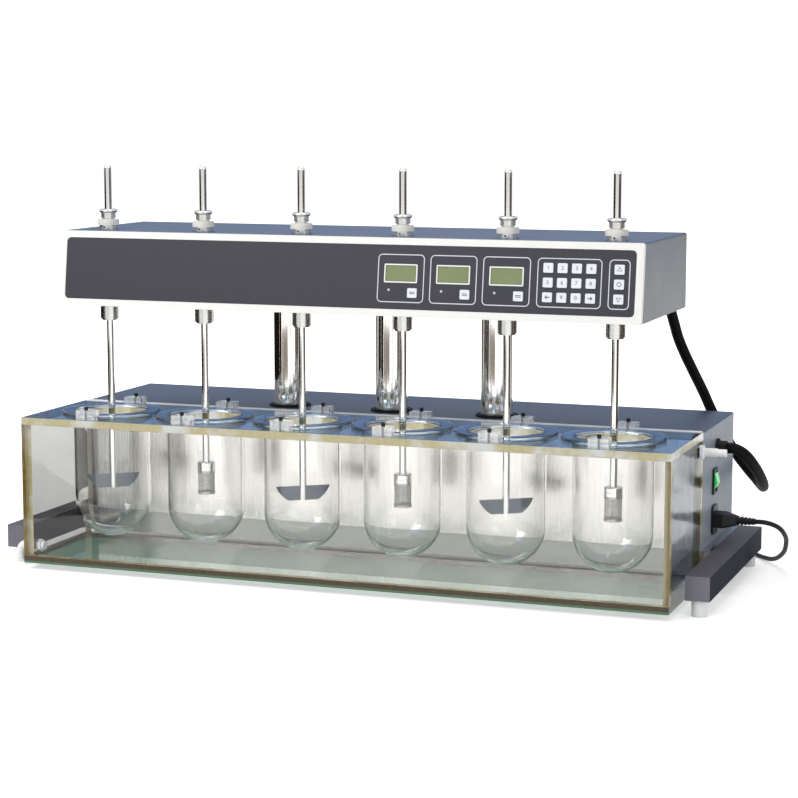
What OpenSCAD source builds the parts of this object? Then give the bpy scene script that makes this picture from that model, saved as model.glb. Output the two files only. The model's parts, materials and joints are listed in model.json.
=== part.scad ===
// Six-station dissolution tester: a clear water bath with six glass vessels, a cabinet behind it,
// and a drive head on three columns that lowers paddles and baskets into the vessels.
// Sizes are in millimetres. X runs along the row of stations, Y to the back and Z up. The origin
// lies on the bench, in the middle of the footprint, with the head at the height of the photo.

/* [Bath] */
// Width of the bath and of the plate on it
tank_w = 922; // [880:1:960]
// Depth of the bath from front to back
tank_d = 190; // [182:1:200]
// Height of the bath, from the underside of its floor to the top of its walls
tank_h = 196; // [190:1:205]
// Thickness of the acrylic sheets
sheet_t = 10; // [8:0.5:12]
// Height of the pads under the bath
pad_h = 9; // [6:0.5:12]

/* [Vessels] */
// Distance from the outer stations to the ends of the bath
end_set = 96; // [92:0.5:100]
// Gap between the flanges of neighbouring vessels
flange_gap = 7; // [5:0.5:10]
// Distance from the front of the bath to the row of stations
line_set = 88; // [86:0.5:92]
// Outside diameter of a vessel
vessel_od = 107; // [102:0.5:112]
// Thickness of the glass
vessel_wall = 2.5; // [2:0.1:3]
// Height of a vessel, flange included
vessel_h = 181.5; // [175:0.5:184]
// Thickness of the flange
flange_t = 5; // [4:0.5:6]
// Clearance round a vessel in its hole
vessel_fit = 1; // [0.5:0.1:2]

/* [Clamps] */
// Width of a vessel clamp along the row
clamp_w = 27; // [20:0.5:32]
// Depth of a vessel clamp
clamp_d = 18; // [15:0.5:20]
// Height of a vessel clamp
clamp_h = 13; // [11:0.5:16]
// How far a clamp reaches over the flange
clamp_grip = 6; // [4:0.5:8]
// Diameter of the clamp screw's head
screw_d = 5.5; // [4.5:0.5:8]

/* [Frame] */
// Gap between the bath and a rail
rail_gap = 13; // [13:0.5:18]
// Width of a rail
rail_w = 32; // [26:1:34]
// Height of a rail
rail_h = 32; // [28:1:36]
// Distance from the front of the bath to the front end of the rails
rail_set = 33; // [32:1:60]
// Distance from the back of the cabinet to the back end of the rails
rear_inset = 8; // [4:1:20]
// Thickness of the frame's sheet
frame_t = 2.5; // [2:0.25:4]
// Height of the feet
foot_h = 22; // [18:0.5:28]
// Diameter of the feet
foot_d = 21; // [18:0.5:24]

/* [Cabinet] */
// Depth of the cabinet
cab_d = 203.6; // [195:0.2:215]
// Height of the cabinet above the frame
cab_h = 161; // [155:1:170]
// Thickness of the painted sheet on the cabinet and the head
skin = 1.6; // [1.2:0.1:2]
// Gap between the bath and the cabinet
bath_gap = 0.4; // [0.2:0.1:0.8]

/* [Columns] */
// Diameter of a lift column
column_d = 46; // [40:0.5:50]
// Wall of a lift column
column_wall = 3; // [2:0.25:4]
// Distance between neighbouring columns
column_pitch = 157; // [140:1:180]
// Distance from the front of the cabinet back to the columns
column_set = 52.6; // [48:0.2:58]
// Height of the columns' lower ends above the bench, with the head at rest
column_low = 68; // [67:0.5:72]
// Wall of a guide tube
guide_wall = 7; // [5:0.5:9]
// Clearance of a column in its guide
guide_fit = 0.15; // [0.1:0.01:0.3]
// Width of the rubber lip of a column seal
seal_lip = 7; // [5:0.5:10]
// Height of a column seal
seal_h = 3.2; // [2:0.1:5]

/* [Head] */
// How far the ends of the head stand in from the ends of the bath
head_inset = 48; // [42:0.5:54]
// Height of the head
head_h = 102; // [98:1:108]
// Height of the head's underside above the bench
head_z = 372; // [366:1:380]
// Distance from the row of stations to the top front edge
head_front = 47; // [46:0.5:52]
// How far the lower front edge stands out past the upper one
head_lean = 14; // [8:0.5:18]
// Distance from the columns to the back of the head
head_back = 41; // [36:1:48]
// Thickness of the front bezel
bezel_t = 8; // [7:0.5:10]
// Width of the bezel's border round the control panel
bezel_edge = 9.5; // [8:0.5:10]

/* [Spindles] */
// Diameter of a paddle or basket shaft
rod_d = 9.8; // [9.4:0.1:10.1]
// Clearance of a shaft in its spindle
rod_fit = 0.1; // [0.06:0.01:0.2]
// Length of shaft that stands out above the collet nut
rod_out = 62; // [40:1:80]
// Diameter of the chuck nose below the head
nose_d = 26.5; // [24:0.5:30]
// Length of the chuck nose below the head
nose_len = 25; // [15:0.5:35]
// Diameter of the spindle in its bearings
shank_d = 20; // [18:0.5:22]
// Clearance of the spindle in its bearings
bearing_fit = 0.08; // [0.05:0.01:0.12]
// Outside diameter of a bearing housing
housing_d = 38; // [34:0.5:44]
// Diameter of the hub above the head
hub_d = 25; // [22:0.5:28]
// Height of the hub above the head
hub_rise = 6; // [4:0.5:10]
// Diameter of the clutch collar
collar_d = 30; // [27:0.5:34]
// Height of the clutch collar
collar_h = 7.5; // [5:0.5:10]
// Diameter of the collet nut
nut_d = 21; // [19.5:0.5:24]
// Height of the collet nut
nut_h = 12; // [10:0.5:16]
// Diameter of the collet nut's rim
nut_rim_d = 25; // [23:0.5:28]
// Diameter of a belt pulley
pulley_d = 44; // [40:0.5:50]
// Thickness of the belt
belt_t = 2; // [1.5:0.1:2.5]
// Width of the belt
belt_w = 9; // [7:0.5:12]

/* [Paddles and baskets] */
// Depth of the lower edge of the paddles and baskets below the head
tool_drop = 264; // [255:1:270]
// Width of a paddle blade along its upper edge
blade_top = 75; // [70:0.5:78]
// Width of a paddle blade along its lower edge
blade_low = 42; // [36:0.5:48]
// Height of a paddle blade
blade_h = 19.5; // [17:0.5:22]
// Thickness of a paddle blade
blade_t = 4; // [3:0.25:5]
// Turn of the blades from the row of stations
blade_turn = 35; // [0:1:90]
// Height of a basket, cap included
basket_h = 45; // [40:0.5:50]
// Diameter of the basket's screen
screen_d = 22.2; // [20:0.1:24]
// Thickness of the basket's screen
screen_t = 0.8; // [0.6:0.1:1.2]
// How far the basket's rims stand out from the screen
rim_out = 1.2; // [0.8:0.1:2]
// Height of the cap on the basket
cap_h = 12; // [10:0.5:14]

/* [Control panel] */
// Thickness of the control panel
panel_t = 2.4; // [2:0.1:3]
// Width of a key
key_w = 13; // [11:0.5:14]
// Height of a key
key_h = 12.5; // [11:0.5:14]
// Distance between neighbouring keys
key_pitch = 18.85; // [18:0.05:19]
// Height of the lowest row of keys above the front's lower edge
key_row = 31.2; // [30:0.1:33]
// How far a key stands out of the panel
key_rise = 1.4; // [1.2:0.1:2]
// Travel of a key
key_travel = 1; // [0.6:0.1:1]
// Clearance round a key
key_fit = 0.2; // [0.15:0.05:0.3]
// Width of a display
lcd_w = 42.4; // [38:0.1:44]
// Height of a display
lcd_h = 21; // [18:0.1:22]
// Middle of the displays above the front's lower edge
lcd_row = 56.5; // [55:0.1:58]
// Distance from the right end of the head to the first display
lcd_set = 323.8; // [321:0.1:328]
// Distance between neighbouring displays
lcd_pitch = 72.2; // [70:0.1:73]
// Distance from the middle of a display to its key
select_set = 17; // [14:0.5:19]
// Distance from the right end of the head to the keypad's first column
pad_set = 123.8; // [122:0.1:125]
// Distance from the right end of the head to the lift keys
lift_set = 30.5; // [29:0.1:35]

/* [Power entry] */
// Distance from the front of the cabinet to the switch and the inlet
entry_set = 75.6; // [70:0.2:80]
// Height of the switch above the frame
switch_rise = 83; // [80:1:90]
// Width of the switch bezel
switch_w = 25; // [22:0.5:28]
// Height of the switch bezel
switch_h = 35; // [32:0.5:38]
// Turn of the rocker to either side of level
rocker_turn = 8; // [6:0.5:10]
// Height of the mains inlet above the frame
inlet_rise = 30; // [28:1:36]
// Width of the inlet's flange
inlet_w = 34; // [32:0.5:38]
// Height of the inlet's flange
inlet_h = 40; // [36:0.5:44]
// Diameter of the mains lead
cord_d = 6.5; // [6:0.1:6.6]
// Diameter of the conduit between the head and the cabinet
conduit_d = 15; // [12:0.5:16]

/* [Bath fittings] */
// Outside diameter of the hose tails
hose_d = 10; // [8:0.5:11]
// Distance from the back of the bath to the hose nozzle
nozzle_set = 22; // [21:0.5:40]
// Distance from the top of the bath's walls down to the hose nozzle
nozzle_drop = 13; // [12:0.5:30]
// Distance from the front of the bath to the drain
drain_set = 24; // [22:0.5:25]
// Height of the drain above the underside of the bath
drain_rise = 21; // [20:0.5:30]

/* [Inside the cabinet] */
// Distance from the left end of the cabinet to the middle of the pump
pump_set = 161; // [150:1:180]
// Distance from the front of the cabinet to the axis of the pump
pump_back = 115; // [100:1:125]
// Height of the pump's axis above the frame
pump_rise = 50; // [46:1:60]
// Diameter of the pump's motor
pump_d = 64; // [56:1:70]
// Length of the pump's motor
pump_len = 95; // [80:1:110]
// Diameter of the pump's pipes
pipe_d = 16; // [12:0.5:18]
// Diameter of the lift motor
lift_motor_d = 56; // [48:1:60]
// Length of the lift motor
lift_motor_len = 100; // [80:1:110]

/* [Hidden] */
$fn = 48;
stations = 6;
station_pitch = (tank_w - 2 * end_set) / (stations - 1);
flange_d = station_pitch - flange_gap;
cab_w = tank_w;
head_w = tank_w - 2 * head_inset;
frame_w = tank_w + 2 * (rail_gap + rail_w);
lcd_first = head_w / 2 - lcd_set;
pad_first = head_w / 2 - pad_set;
lift_keys = head_w / 2 - lift_set;
seat = 0.1;                                   // hairline between pieces that rest on each other
cut = 1;                                      // overrun of a cutting shape

depth = tank_d + bath_gap + cab_d;
front_y = -depth / 2;
tank_back = front_y + tank_d;
cab_front = tank_back + bath_gap;
back_y = depth / 2;
line_y = front_y + line_set;
tank_top = pad_h + tank_h;
plate_top = tank_top + sheet_t;
frame_top = foot_h + rail_h;
cab_top = frame_top + cab_h;
rail_front = front_y + rail_set;
rail_back = back_y - rear_inset;
column_y = cab_front + column_set;
guide_d = column_d + 2 * guide_fit + 2 * guide_wall;

head_top = head_z + head_h;
front_top_y = line_y - head_front;
front_low_y = front_top_y - head_lean;
head_back_y = column_y + head_back;
lean = atan(head_lean / head_h);
face_h = norm([head_lean, head_h]);

vessel_top = plate_top + seat + flange_t;
hub_top = head_top + hub_rise;
nut_low = hub_top + collar_h + 2.5;
nut_top = nut_low + nut_h;
rod_top = nut_top + rod_out;
tool_z = head_z - tool_drop;
nose_z = head_z - nose_len;
neck_d = hub_d - 8;
pulley_z = head_top - 31;
pulley_lip = 1.5;
pulley_h = belt_w + 2 * pulley_lip + 2;
motor_x = -2 * station_pitch;

panel_w = head_w - 2 * bezel_edge;
panel_h = face_h - 2 * bezel_edge;
panel_sunk = 0.6;                             // panel's face below the bezel's face
panel_gap = 0.3;                              // clearance round the panel
panel_ledge = 6;                              // width of the ledge that carries the panel
panel_back = panel_sunk + panel_t;
key_flange = 1;                               // a key's retaining flange, all round
key_foot = panel_back + seat + 2.6;           // depth of a key's lower end
board_in = key_foot + key_travel + 3.8;       // depth of the display board's face
board_t = 1.6;

// Places of the keys on the front, from the middle of the head and up from its lower edge
KEY_AT = concat(
    [for (i = [0:2]) [lcd_first + i * lcd_pitch + select_set, key_row]],
    [for (r = [2:-1:0]) for (c = [0:3]) [pad_first + c * key_pitch, key_row + r * key_pitch]],
    [for (r = [2:-1:0]) [lift_keys, key_row + r * key_pitch]]);
KEY_NAMES = concat(
    [for (i = [1:3]) str("select_key_", i)],
    [for (i = [1:12]) str("keypad_key_", i)],
    ["lift_key_up", "lift_key_stop", "lift_key_down"]);

// Route of the mains lead, from the connector to its coil: out from the cabinet's right end, back from
// the inlet, and the share of the inlet's height above the bench
LEAD_POINTS = [[58, 0, 1], [69, 0, 1], [80, 4, 0.963], [88, 13, 0.888], [92, 26, 0.777], [93, 42, 0.641],
    [90, 59, 0.48], [85, 76, 0.331], [77, 93, 0.207], [68, 110, 0.108], [57, 128, 0.04], [44, 147, 0.009],
    [29, 166, 0], [11, 185, 0], [-9, 202, 0], [-31, 217, 0], [-55, 229, 0], [-80, 239, 0], [-106, 245, 0],
    [-133, 248.4, 0], [-157, 249, 0], [-163, 249, 0]];
// Route of the conduit, from the gland on the cabinet to the elbow at the back of the head: out from the
// cabinet's right end, then Y and Z
CONDUIT_POINTS = [[14, 82, 181], [25, 82, 181], [38, 93, 171], [47, 114, 152], [51, 143, 131], [49, 172, 116],
    [42, 199, 111], [29, 219, 118], [13, 229, 132], [-3, 232, 151], [-21, 229, 181], [-36, 220, 211],
    [-46, 206, 240], [-56, 182, 272], [-64, 163, 298], [-70, 146, 322], [-73, 130, 345], [-75, 116, 364],
    [-75, 108, 374], [-75, 102, 382]];

entry_y = cab_front + entry_set;
switch_z = frame_top + switch_rise;
inlet_z = frame_top + inlet_rise;
coil_low = 3.3;
CORD_ROUTE = [for (p = LEAD_POINTS) [cab_w / 2 + p.x, entry_y + p.y, coil_low + p.z * (inlet_z - coil_low)]];
CONDUIT_ROUTE = [for (p = CONDUIT_POINTS) [cab_w / 2 + p.x, p.y, p.z]];

// The lead's coil: two layers of loops, wound in and out again
coil_at = [cab_w / 2 - 171, entry_y + 201];
coil_mid = 39;                                // radius at the middle of the loops
coil_turns = 2.5;                             // loops in each layer
coil_step = cord_d + 0.7;
coil_rings = 24;                              // rings in a loop

function tool_name(i) = str(i % 2 == 1 ? "paddle_shaft_" : "basket_shaft_", i);
function station_x(i) = (i - (stations + 1) / 2) * station_pitch;
function unit(v) = v / norm(v);

// Distance from the coil's axis after t turns: inwards, round the reversal, outwards
function coil_r(t) = coil_mid + coil_step * (coil_turns / 2 - coil_turns - 0.25 + abs(t - coil_turns - 0.25));
function coil_z(t) = coil_low + coil_step * min(1, max(0, (t - coil_turns) / 0.5));
function coil_point(t) = let (a = 90 + 360 * t, r = coil_r(t))
    [coil_at.x + r * cos(a), coil_at.y + r * sin(a), coil_z(t)];
coil_span = 2 * coil_turns + 0.5;
COIL_BODY = [for (k = [0 : coil_span * coil_rings]) coil_point(k / coil_rings)];
COIL_END = COIL_BODY[len(COIL_BODY) - 1];
COIL_ROUTE = concat(
    [[COIL_BODY[0].x + 8, COIL_BODY[0].y, coil_low], [COIL_BODY[0].x + 2, COIL_BODY[0].y, coil_low]],
    COIL_BODY,
    [[COIL_END.x + 2, COIL_END.y, COIL_END.z], [COIL_END.x + 18, COIL_END.y, COIL_END.z]]);
coil_gap = min([for (i = [0 : len(COIL_BODY) - 1]) for (j = [i + coil_rings / 2 : 1 : len(COIL_BODY) - 1])
    norm(COIL_BODY[i] - COIL_BODY[j])]) - cord_d;
echo(least_gap_between_loops = coil_gap);

// Directions along a route, and the side direction carried along it without twist
function along(p) = [for (i = [0 : len(p) - 1]) unit(p[min(i + 1, len(p) - 1)] - p[max(i - 1, 0)])];
function sides(t, n0) = [for (i = 0, n = unit(n0 - (n0 * t[0]) * t[0]); i < len(t);
    n = i + 1 < len(t) ? unit(n - (n * t[i + 1]) * t[i + 1]) : n, i = i + 1) n];

// A tube of n flat sides swept along a route
module tube(route, d, n, side) {
    t = along(route);
    s = sides(t, side);
    last = len(route) - 1;
    points = [for (i = [0 : last]) for (k = [0 : n - 1])
        route[i] + d / 2 * (cos(360 * k / n) * s[i] + sin(360 * k / n) * cross(t[i], s[i]))];
    wall = [for (i = [0 : last - 1]) for (k = [0 : n - 1]) let (a = i * n + k, b = i * n + (k + 1) % n)
        each [[a, a + n, b], [b, a + n, b + n]]];
    ends = [for (k = [1 : n - 2]) each [[0, k, k + 1], [last * n, last * n + k + 1, last * n + k]]];
    polyhedron(points, concat(wall, ends));
}

// A rectangle about the middle, with rounded corners
module round_rect(w, h, r) {
    square([w - 2 * r, h], center = true);
    square([w, h - 2 * r], center = true);
    for (x = [-1, 1], y = [-1, 1]) translate([x * (w / 2 - r), y * (h / 2 - r)]) circle(r);
}

// A rectangle that stands on y = 0, with its two upper corners rounded
module arch(w, h, r) {
    translate([-w / 2, 0]) square([w, h - r]);
    translate([r - w / 2, 0]) square([w - 2 * r, h]);
    for (x = [-1, 1]) translate([x * (w / 2 - r), h - r]) circle(r);
}

module ring(outer, inner, h) {
    difference() {
        cylinder(d = outer, h = h);
        translate([0, 0, -cut]) cylinder(d = inner, h = h + 2 * cut);
    }
}

// Places its children on the leaning front: x along the head, y up the front, z out of it
module on_front() {
    translate([0, front_low_y, head_z]) rotate([90 - lean, 0, 0]) children();
}

// Everything in front of the bezel's back face
module ahead_of_cover() {
    on_front() translate([-head_w, -face_h, -bezel_t - seat]) cube([2 * head_w, 3 * face_h, face_h]);
}

module at_stations() {
    for (i = [1:stations]) translate([station_x(i), line_y, 0]) children();
}

module at_columns() {
    for (k = [-1:1]) translate([k * column_pitch, column_y, 0]) children();
}

// Frame and feet

// A closed box of sheet, from one corner
module sheet_box(size) {
    difference() {
        cube(size);
        translate([frame_t, frame_t, frame_t]) cube(size - 2 * frame_t * [1, 1, 1]);
    }
}

module base_frame() {
    span = frame_w - 2 * rail_w - 2 * seat;
    color("#5a5962") {
        for (x = [-frame_w / 2, frame_w / 2 - rail_w])
            translate([x, rail_front, foot_h]) sheet_box([rail_w, rail_back - rail_front, rail_h]);
        difference() {
            translate([-span / 2, cab_front, foot_h]) sheet_box([span, rail_back - cab_front, rail_h]);
            at_columns() translate([0, 0, foot_h + frame_t]) cylinder(d = guide_d + 2 * seat, h = rail_h);
        }
    }
}

module feet() {
    foot_in = rail_w / 2;
    color("whitesmoke") {
        for (x = [-1, 1], y = [rail_front + foot_in, rail_back - foot_in])
            translate([x * (frame_w / 2 - foot_in), y, 0]) cylinder(d = foot_d, h = foot_h - seat);
        for (x = [-1, 1], y = [front_y + 40, tank_back - 40])
            translate([x * (tank_w / 2 - 60), y, 0]) cylinder(d = 30, h = pad_h - seat);
    }
}

// Bath, vessels and clamps

nozzle_y = tank_back - nozzle_set;
nozzle_z = tank_top - nozzle_drop;
drain_y = front_y + drain_set;
drain_z = pad_h + drain_rise;
shank_r = hose_d / 2 + 1;                     // threaded shank of a fitting
shank_hole = shank_r + 0.2;

module bath_tank() {
    wall_h = tank_h - sheet_t - 2 * seat;
    wall_z = pad_h + sheet_t + seat;
    inner_d = tank_d - 2 * (sheet_t + seat);
    color("#d8ebe4", 0.4) {
        translate([-tank_w / 2, front_y, pad_h]) cube([tank_w, tank_d, sheet_t]);
        for (y = [front_y, tank_back - sheet_t])
            translate([-tank_w / 2, y, wall_z]) cube([tank_w, sheet_t, wall_h]);
        difference() {
            for (x = [-tank_w / 2, tank_w / 2 - sheet_t])
                translate([x, front_y + sheet_t + seat, wall_z]) cube([sheet_t, inner_d, wall_h]);
            translate([0, nozzle_y, nozzle_z]) rotate([0, 90, 0]) cylinder(r = shank_hole, h = tank_w);
            translate([0, drain_y, drain_z]) rotate([0, -90, 0]) cylinder(r = shank_hole, h = tank_w);
        }
    }
}

module vessel_plate() {
    color("#d8ebe4", 0.4) difference() {
        translate([-tank_w / 2, front_y, tank_top]) cube([tank_w, tank_d, sheet_t]);
        at_stations() translate([0, 0, tank_top - cut])
            cylinder(d = vessel_od + 2 * vessel_fit, h = sheet_t + 2 * cut);
    }
}

// Half outline of a vessel of radius r, from the bottom of its bowl up to h
module vessel_outline(r, h) {
    translate([0, r]) intersection() {
        circle(r, $fn = 96);
        translate([0, -r]) square([r, r]);
    }
    translate([0, r]) square([r, h - r]);
}

module vessels() {
    lip_r = flange_t / 2;
    color("#cfe6ea", 0.35) at_stations() translate([0, 0, vessel_top - vessel_h]) rotate_extrude($fn = 96)
        difference() {
            union() {
                vessel_outline(vessel_od / 2, vessel_h);
                translate([0, vessel_h - flange_t]) square([flange_d / 2 - lip_r, flange_t]);
                translate([flange_d / 2 - lip_r, vessel_h - lip_r]) circle(lip_r);
            }
            translate([0, vessel_wall]) vessel_outline(vessel_od / 2 - vessel_wall, vessel_h);
        }
}

clamp_in = flange_d / 2 - clamp_grip;         // a clamp's inner face, from the station
screw_at = flange_d / 2 + (clamp_d - clamp_grip) / 2;
screw_shank = screw_d / 2;

module vessel_clamp() {
    difference() {
        translate([-clamp_w / 2, clamp_in, plate_top + seat]) cube([clamp_w, clamp_d, clamp_h]);
        translate([0, 0, plate_top]) cylinder(d = flange_d + 0.6, h = flange_t + 3 * seat);
        translate([0, screw_at, plate_top]) cylinder(d = screw_shank + 0.4, h = clamp_h + cut);
    }
}

module clamp_screw() {
    socket = screw_d / 2;
    translate([0, screw_at, plate_top + seat]) difference() {
        union() {
            cylinder(d = screw_shank, h = clamp_h + cut);
            translate([0, 0, clamp_h + seat]) cylinder(d = screw_d, h = 0.8 * screw_d);
        }
        translate([0, 0, clamp_h + 0.45 * screw_d]) cylinder(d = socket, h = screw_d, $fn = 6);
    }
}

module vessel_clamps() {
    at_stations() for (a = [0, 180]) rotate(a) {
        color("#dfeeea", 0.5) vessel_clamp();
        color("#202124") clamp_screw();
    }
}

// A hose tail with its flange: r is the tail, the origin lies on the wall's outer face
module hose_tail(r, tail) {
    rotate_extrude() difference() {
        union() {
            square([r + 4.5, 4]);
            square([r + 0.8, 4 + 18]);
            square([r, 4 + 18 + tail]);
        }
        translate([0, 4 + 18 + tail - 3]) square([r - 2, 3 + cut]);
    }
}

module wall_nut() {
    difference() {
        cylinder(d = 2 * shank_r + 6, h = 6, $fn = 6);
        translate([0, 0, -cut]) cylinder(r = shank_r + seat, h = 6 + 2 * cut);
    }
}

drain_out = 19;                               // from the bath's wall to the drain's upright leg
drain_bend = 10;
drain_end = 8;                                // height of the drain's open end above the bench

module bath_fittings() {
    gasket = 1.6;
    shank_in = sheet_t + 10;
    translate([tank_w / 2, nozzle_y, nozzle_z]) rotate([0, 90, 0]) {
        color("#1c1c1e") translate([0, 0, seat]) ring(hose_d + 9, 2 * shank_r + 2 * seat, gasket);
        color("white") translate([0, 0, gasket + 2 * seat]) hose_tail(hose_d / 2, 12);
        color("white") translate([0, 0, -shank_in]) cylinder(r = shank_r, h = shank_in + gasket + 1);
        color("white") translate([0, 0, -sheet_t - seat - 6]) wall_nut();
    }
    translate([-tank_w / 2, drain_y, drain_z]) color("white") {
        rotate([0, -90, 0]) {
            translate([0, 0, -shank_in]) cylinder(r = shank_r, h = shank_in + drain_out - drain_bend);
            translate([0, 0, seat]) cylinder(r = shank_r + 3.5, h = 3.5);
            translate([0, 0, -sheet_t - seat - 6]) wall_nut();
        }
        translate([drain_bend - drain_out, 0, -drain_bend]) rotate([-90, 0, 0])
            rotate([0, 0, 180]) rotate_extrude(angle = 90) translate([drain_bend, 0]) circle(shank_r);
        translate([-drain_out, 0, drain_end - drain_z])
            difference() {
                cylinder(r = shank_r, h = drain_z - drain_end - drain_bend);
                translate([0, 0, -cut]) cylinder(r = shank_r - 2, h = 3 + cut);
            }
    }
}

// Cabinet

gland_at = [82, 181];                         // conduit's gland on the cabinet's right end, Y and Z
switch_body = [switch_w - 4, switch_h - 5];
inlet_body = [inlet_w - 5, inlet_h - 18];
gland_d = conduit_d + 5;

module right_end() {
    translate([cab_w / 2, 0, 0]) children();
}

// A block that goes through the cabinet's right end, of width and height size, out from x by length
module end_block(y, z, size, r, x, length) {
    translate([x, y, z]) rotate([90, 0, 90]) linear_extrude(length) round_rect(size.x, size.y, r);
}

module cabinet_cover() {
    bend = 3;
    color("#9aa0aa") difference() {
        union() {
            translate([0, back_y, frame_top + seat]) rotate([90, 0, 0]) linear_extrude(cab_d) difference() {
                arch(cab_w, cab_h - seat, bend);
                translate([0, -cut]) arch(cab_w - 2 * skin, cab_h - seat - skin + cut, bend - skin / 2);
            }
            translate([skin / 2 - cab_w / 2, back_y - skin, frame_top + seat])
                cube([cab_w - skin, skin, cab_h - seat - skin / 2]);
        }
        at_columns() translate([0, 0, frame_top]) cylinder(d = column_d + 2, h = cab_h + cut);
        right_end() {
            end_block(entry_y, switch_z, switch_body + [0.4, 0.4], 1.2, -3 * skin, 6 * skin);
            end_block(entry_y, inlet_z, inlet_body + [0.4, 0.4], 2.2, -3 * skin, 6 * skin);
            translate([-3 * skin, gland_at.x, gland_at.y]) rotate([0, 90, 0])
                cylinder(d = gland_d - 4 + 0.4, h = 6 * skin);
        }
    }
}

front_t = 1.5;

module cabinet_front() {
    color("#cdc8bc") translate([seat + skin - cab_w / 2, cab_front, frame_top + seat])
        cube([cab_w - 2 * (skin + seat), front_t, cab_h - skin - 2 * seat]);
}

module rubber_seals() {
    color("#1c1c1e") {
        at_columns() translate([0, 0, cab_top + seat]) rotate_extrude() {
            bore = column_d / 2 + 0.3;
            translate([bore, 0]) square([seal_lip, seal_h * 0.6]);
            translate([bore, 0]) square([seal_lip * 0.6, seal_h]);
        }
        right_end() translate([0, gland_at.x, gland_at.y]) rotate([0, 90, 0]) {
            translate([0, 0, seat]) cylinder(d = gland_d + 6, h = 4, $fn = 6);
            translate([0, 0, seat]) cylinder(d = gland_d, h = 14 - seat);
            translate([0, 0, -8]) cylinder(d = gland_d - 4, h = 9);
        }
    }
}

module guide_tube() {
    low = foot_h + frame_t + seat;
    top = cab_top - skin - seat;
    difference() {
        union() {
            translate([0, 0, low]) cylinder(d = guide_d, h = top - low);
            translate([0, 0, frame_top + seat]) cylinder(d = guide_d + 26, h = 6);
        }
        translate([0, 0, low - cut]) cylinder(d = column_d + 2 * guide_fit, h = top - low + 2 * cut);
    }
}

module lift_unit() {
    motor_d = lift_motor_d;
    gear_h = lift_motor_d / 2 - 2;
    motor_set = guide_d / 2 + motor_d / 2 + 6;
    color("#777c82") {
        for (k = [-1, 1]) translate([k * column_pitch, column_y, 0]) guide_tube();
        difference() {
            union() {
                translate([0, column_y, 0]) guide_tube();
                translate([-motor_d / 2 - 2, column_y, frame_top + seat])
                    cube([motor_d + 4, motor_set + motor_d / 2, gear_h]);
                translate([0, column_y + motor_set, frame_top + gear_h]) cylinder(d = motor_d, h = lift_motor_len);
            }
            translate([0, column_y, 0]) cylinder(d = column_d + 2 * guide_fit, h = cab_top);
        }
    }
}

module circulation_pump() {
    pump_x = pump_set - cab_w / 2;
    pump_y = cab_front + pump_back;
    axis_z = frame_top + pump_rise;
    left = pump_x - 0.75 * pump_len;
    head_d = 1.25 * pump_d;
    head_len = 0.65 * pump_d;
    wall = cab_front + front_t + seat;
    suction_x = pump_x + 0.25 * pump_len + head_len / 2;
    pressure_x = suction_x + head_len / 2 + 1.4 * pipe_d;
    pressure_z = axis_z + 0.45 * pump_d;
    color("#5d6670") {
        translate([left - 5, pump_y - 0.55 * pump_d, frame_top + seat]) cube([1.6 * pump_len, 1.1 * pump_d, 6]);
        translate([left, pump_y - 0.3 * pump_d, frame_top + seat])
            cube([1.5 * pump_len, 0.6 * pump_d, 0.8 * pump_rise]);
        translate([left, pump_y, axis_z]) rotate([0, 90, 0]) cylinder(d = pump_d, h = pump_len + 2);
        translate([left + pump_len, pump_y, axis_z]) rotate([0, 90, 0]) cylinder(d = head_d, h = head_len);
        // Suction and pressure pipes to the bath's ports behind the cabinet's front, one with the heater
        translate([suction_x, wall, pressure_z]) rotate([-90, 0, 0]) cylinder(d = pipe_d, h = pump_y - wall);
        translate([suction_x, wall + pump_back / 5, pressure_z]) rotate([-90, 0, 0])
            cylinder(d = 2.2 * pipe_d, h = 0.55 * pump_back);
        translate([left + pump_len + head_len - 1, pump_y, axis_z]) rotate([0, 90, 0])
            cylinder(d = 0.8 * pipe_d, h = pressure_x - left - pump_len - head_len + 1);
        translate([pressure_x, wall, axis_z]) rotate([-90, 0, 0])
            cylinder(d = pipe_d, h = pump_y - wall + pipe_d / 2);
    }
}

// Switch, inlet and lead

pivot_in = 7;                                 // rocker's pivot behind the cabinet's end
pivot_r = 2;
pivot_fit = 0.06;
rocker_w = switch_body.x - 4;
rocker_h = switch_body.y - 4;

module switch_bezel() {
    lip = 2.6;
    color("#1b1c1f") right_end() difference() {
        union() {
            end_block(entry_y, switch_z, [switch_w, switch_h], 2, seat, lip);
            end_block(entry_y, switch_z, switch_body, 1, -20, 20 + cut);
        }
        end_block(entry_y, switch_z, [rocker_w + 0.6, rocker_h + 1.2], 0.8, -18, 18 + lip + cut);
        translate([-pivot_in, entry_y, switch_z]) rotate([90, 0, 0])
            cylinder(r = pivot_r + pivot_fit, h = rocker_w + 3, center = true);
    }
}

// Side view of the rocker about its pivot, x out of the cabinet and y up
module rocker_outline() {
    reach = pivot_in + 2.6;
    half = rocker_h / 2 - 0.6;
    polygon([[-3, -4], [-3, 4], [reach - 6, half], [reach - 1, half], [reach + 4, 0.5], [reach + 4, -0.5],
             [reach - 1, -half], [reach - 6, -half]]);
}

module rocker_switch() {
    color("#38a35a") right_end() translate([-pivot_in, entry_y, switch_z]) rotate([0, rocker_turn, 0]) {
        rotate([90, 0, 0]) linear_extrude(rocker_w, center = true) rocker_outline();
        rotate([90, 0, 0]) cylinder(r = pivot_r, h = rocker_w + 2.6, center = true);
    }
}

inlet_lip = 3;
plug_in = 16;                                 // how far the connector goes into the inlet
socket = inlet_body - [4, 4];

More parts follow.
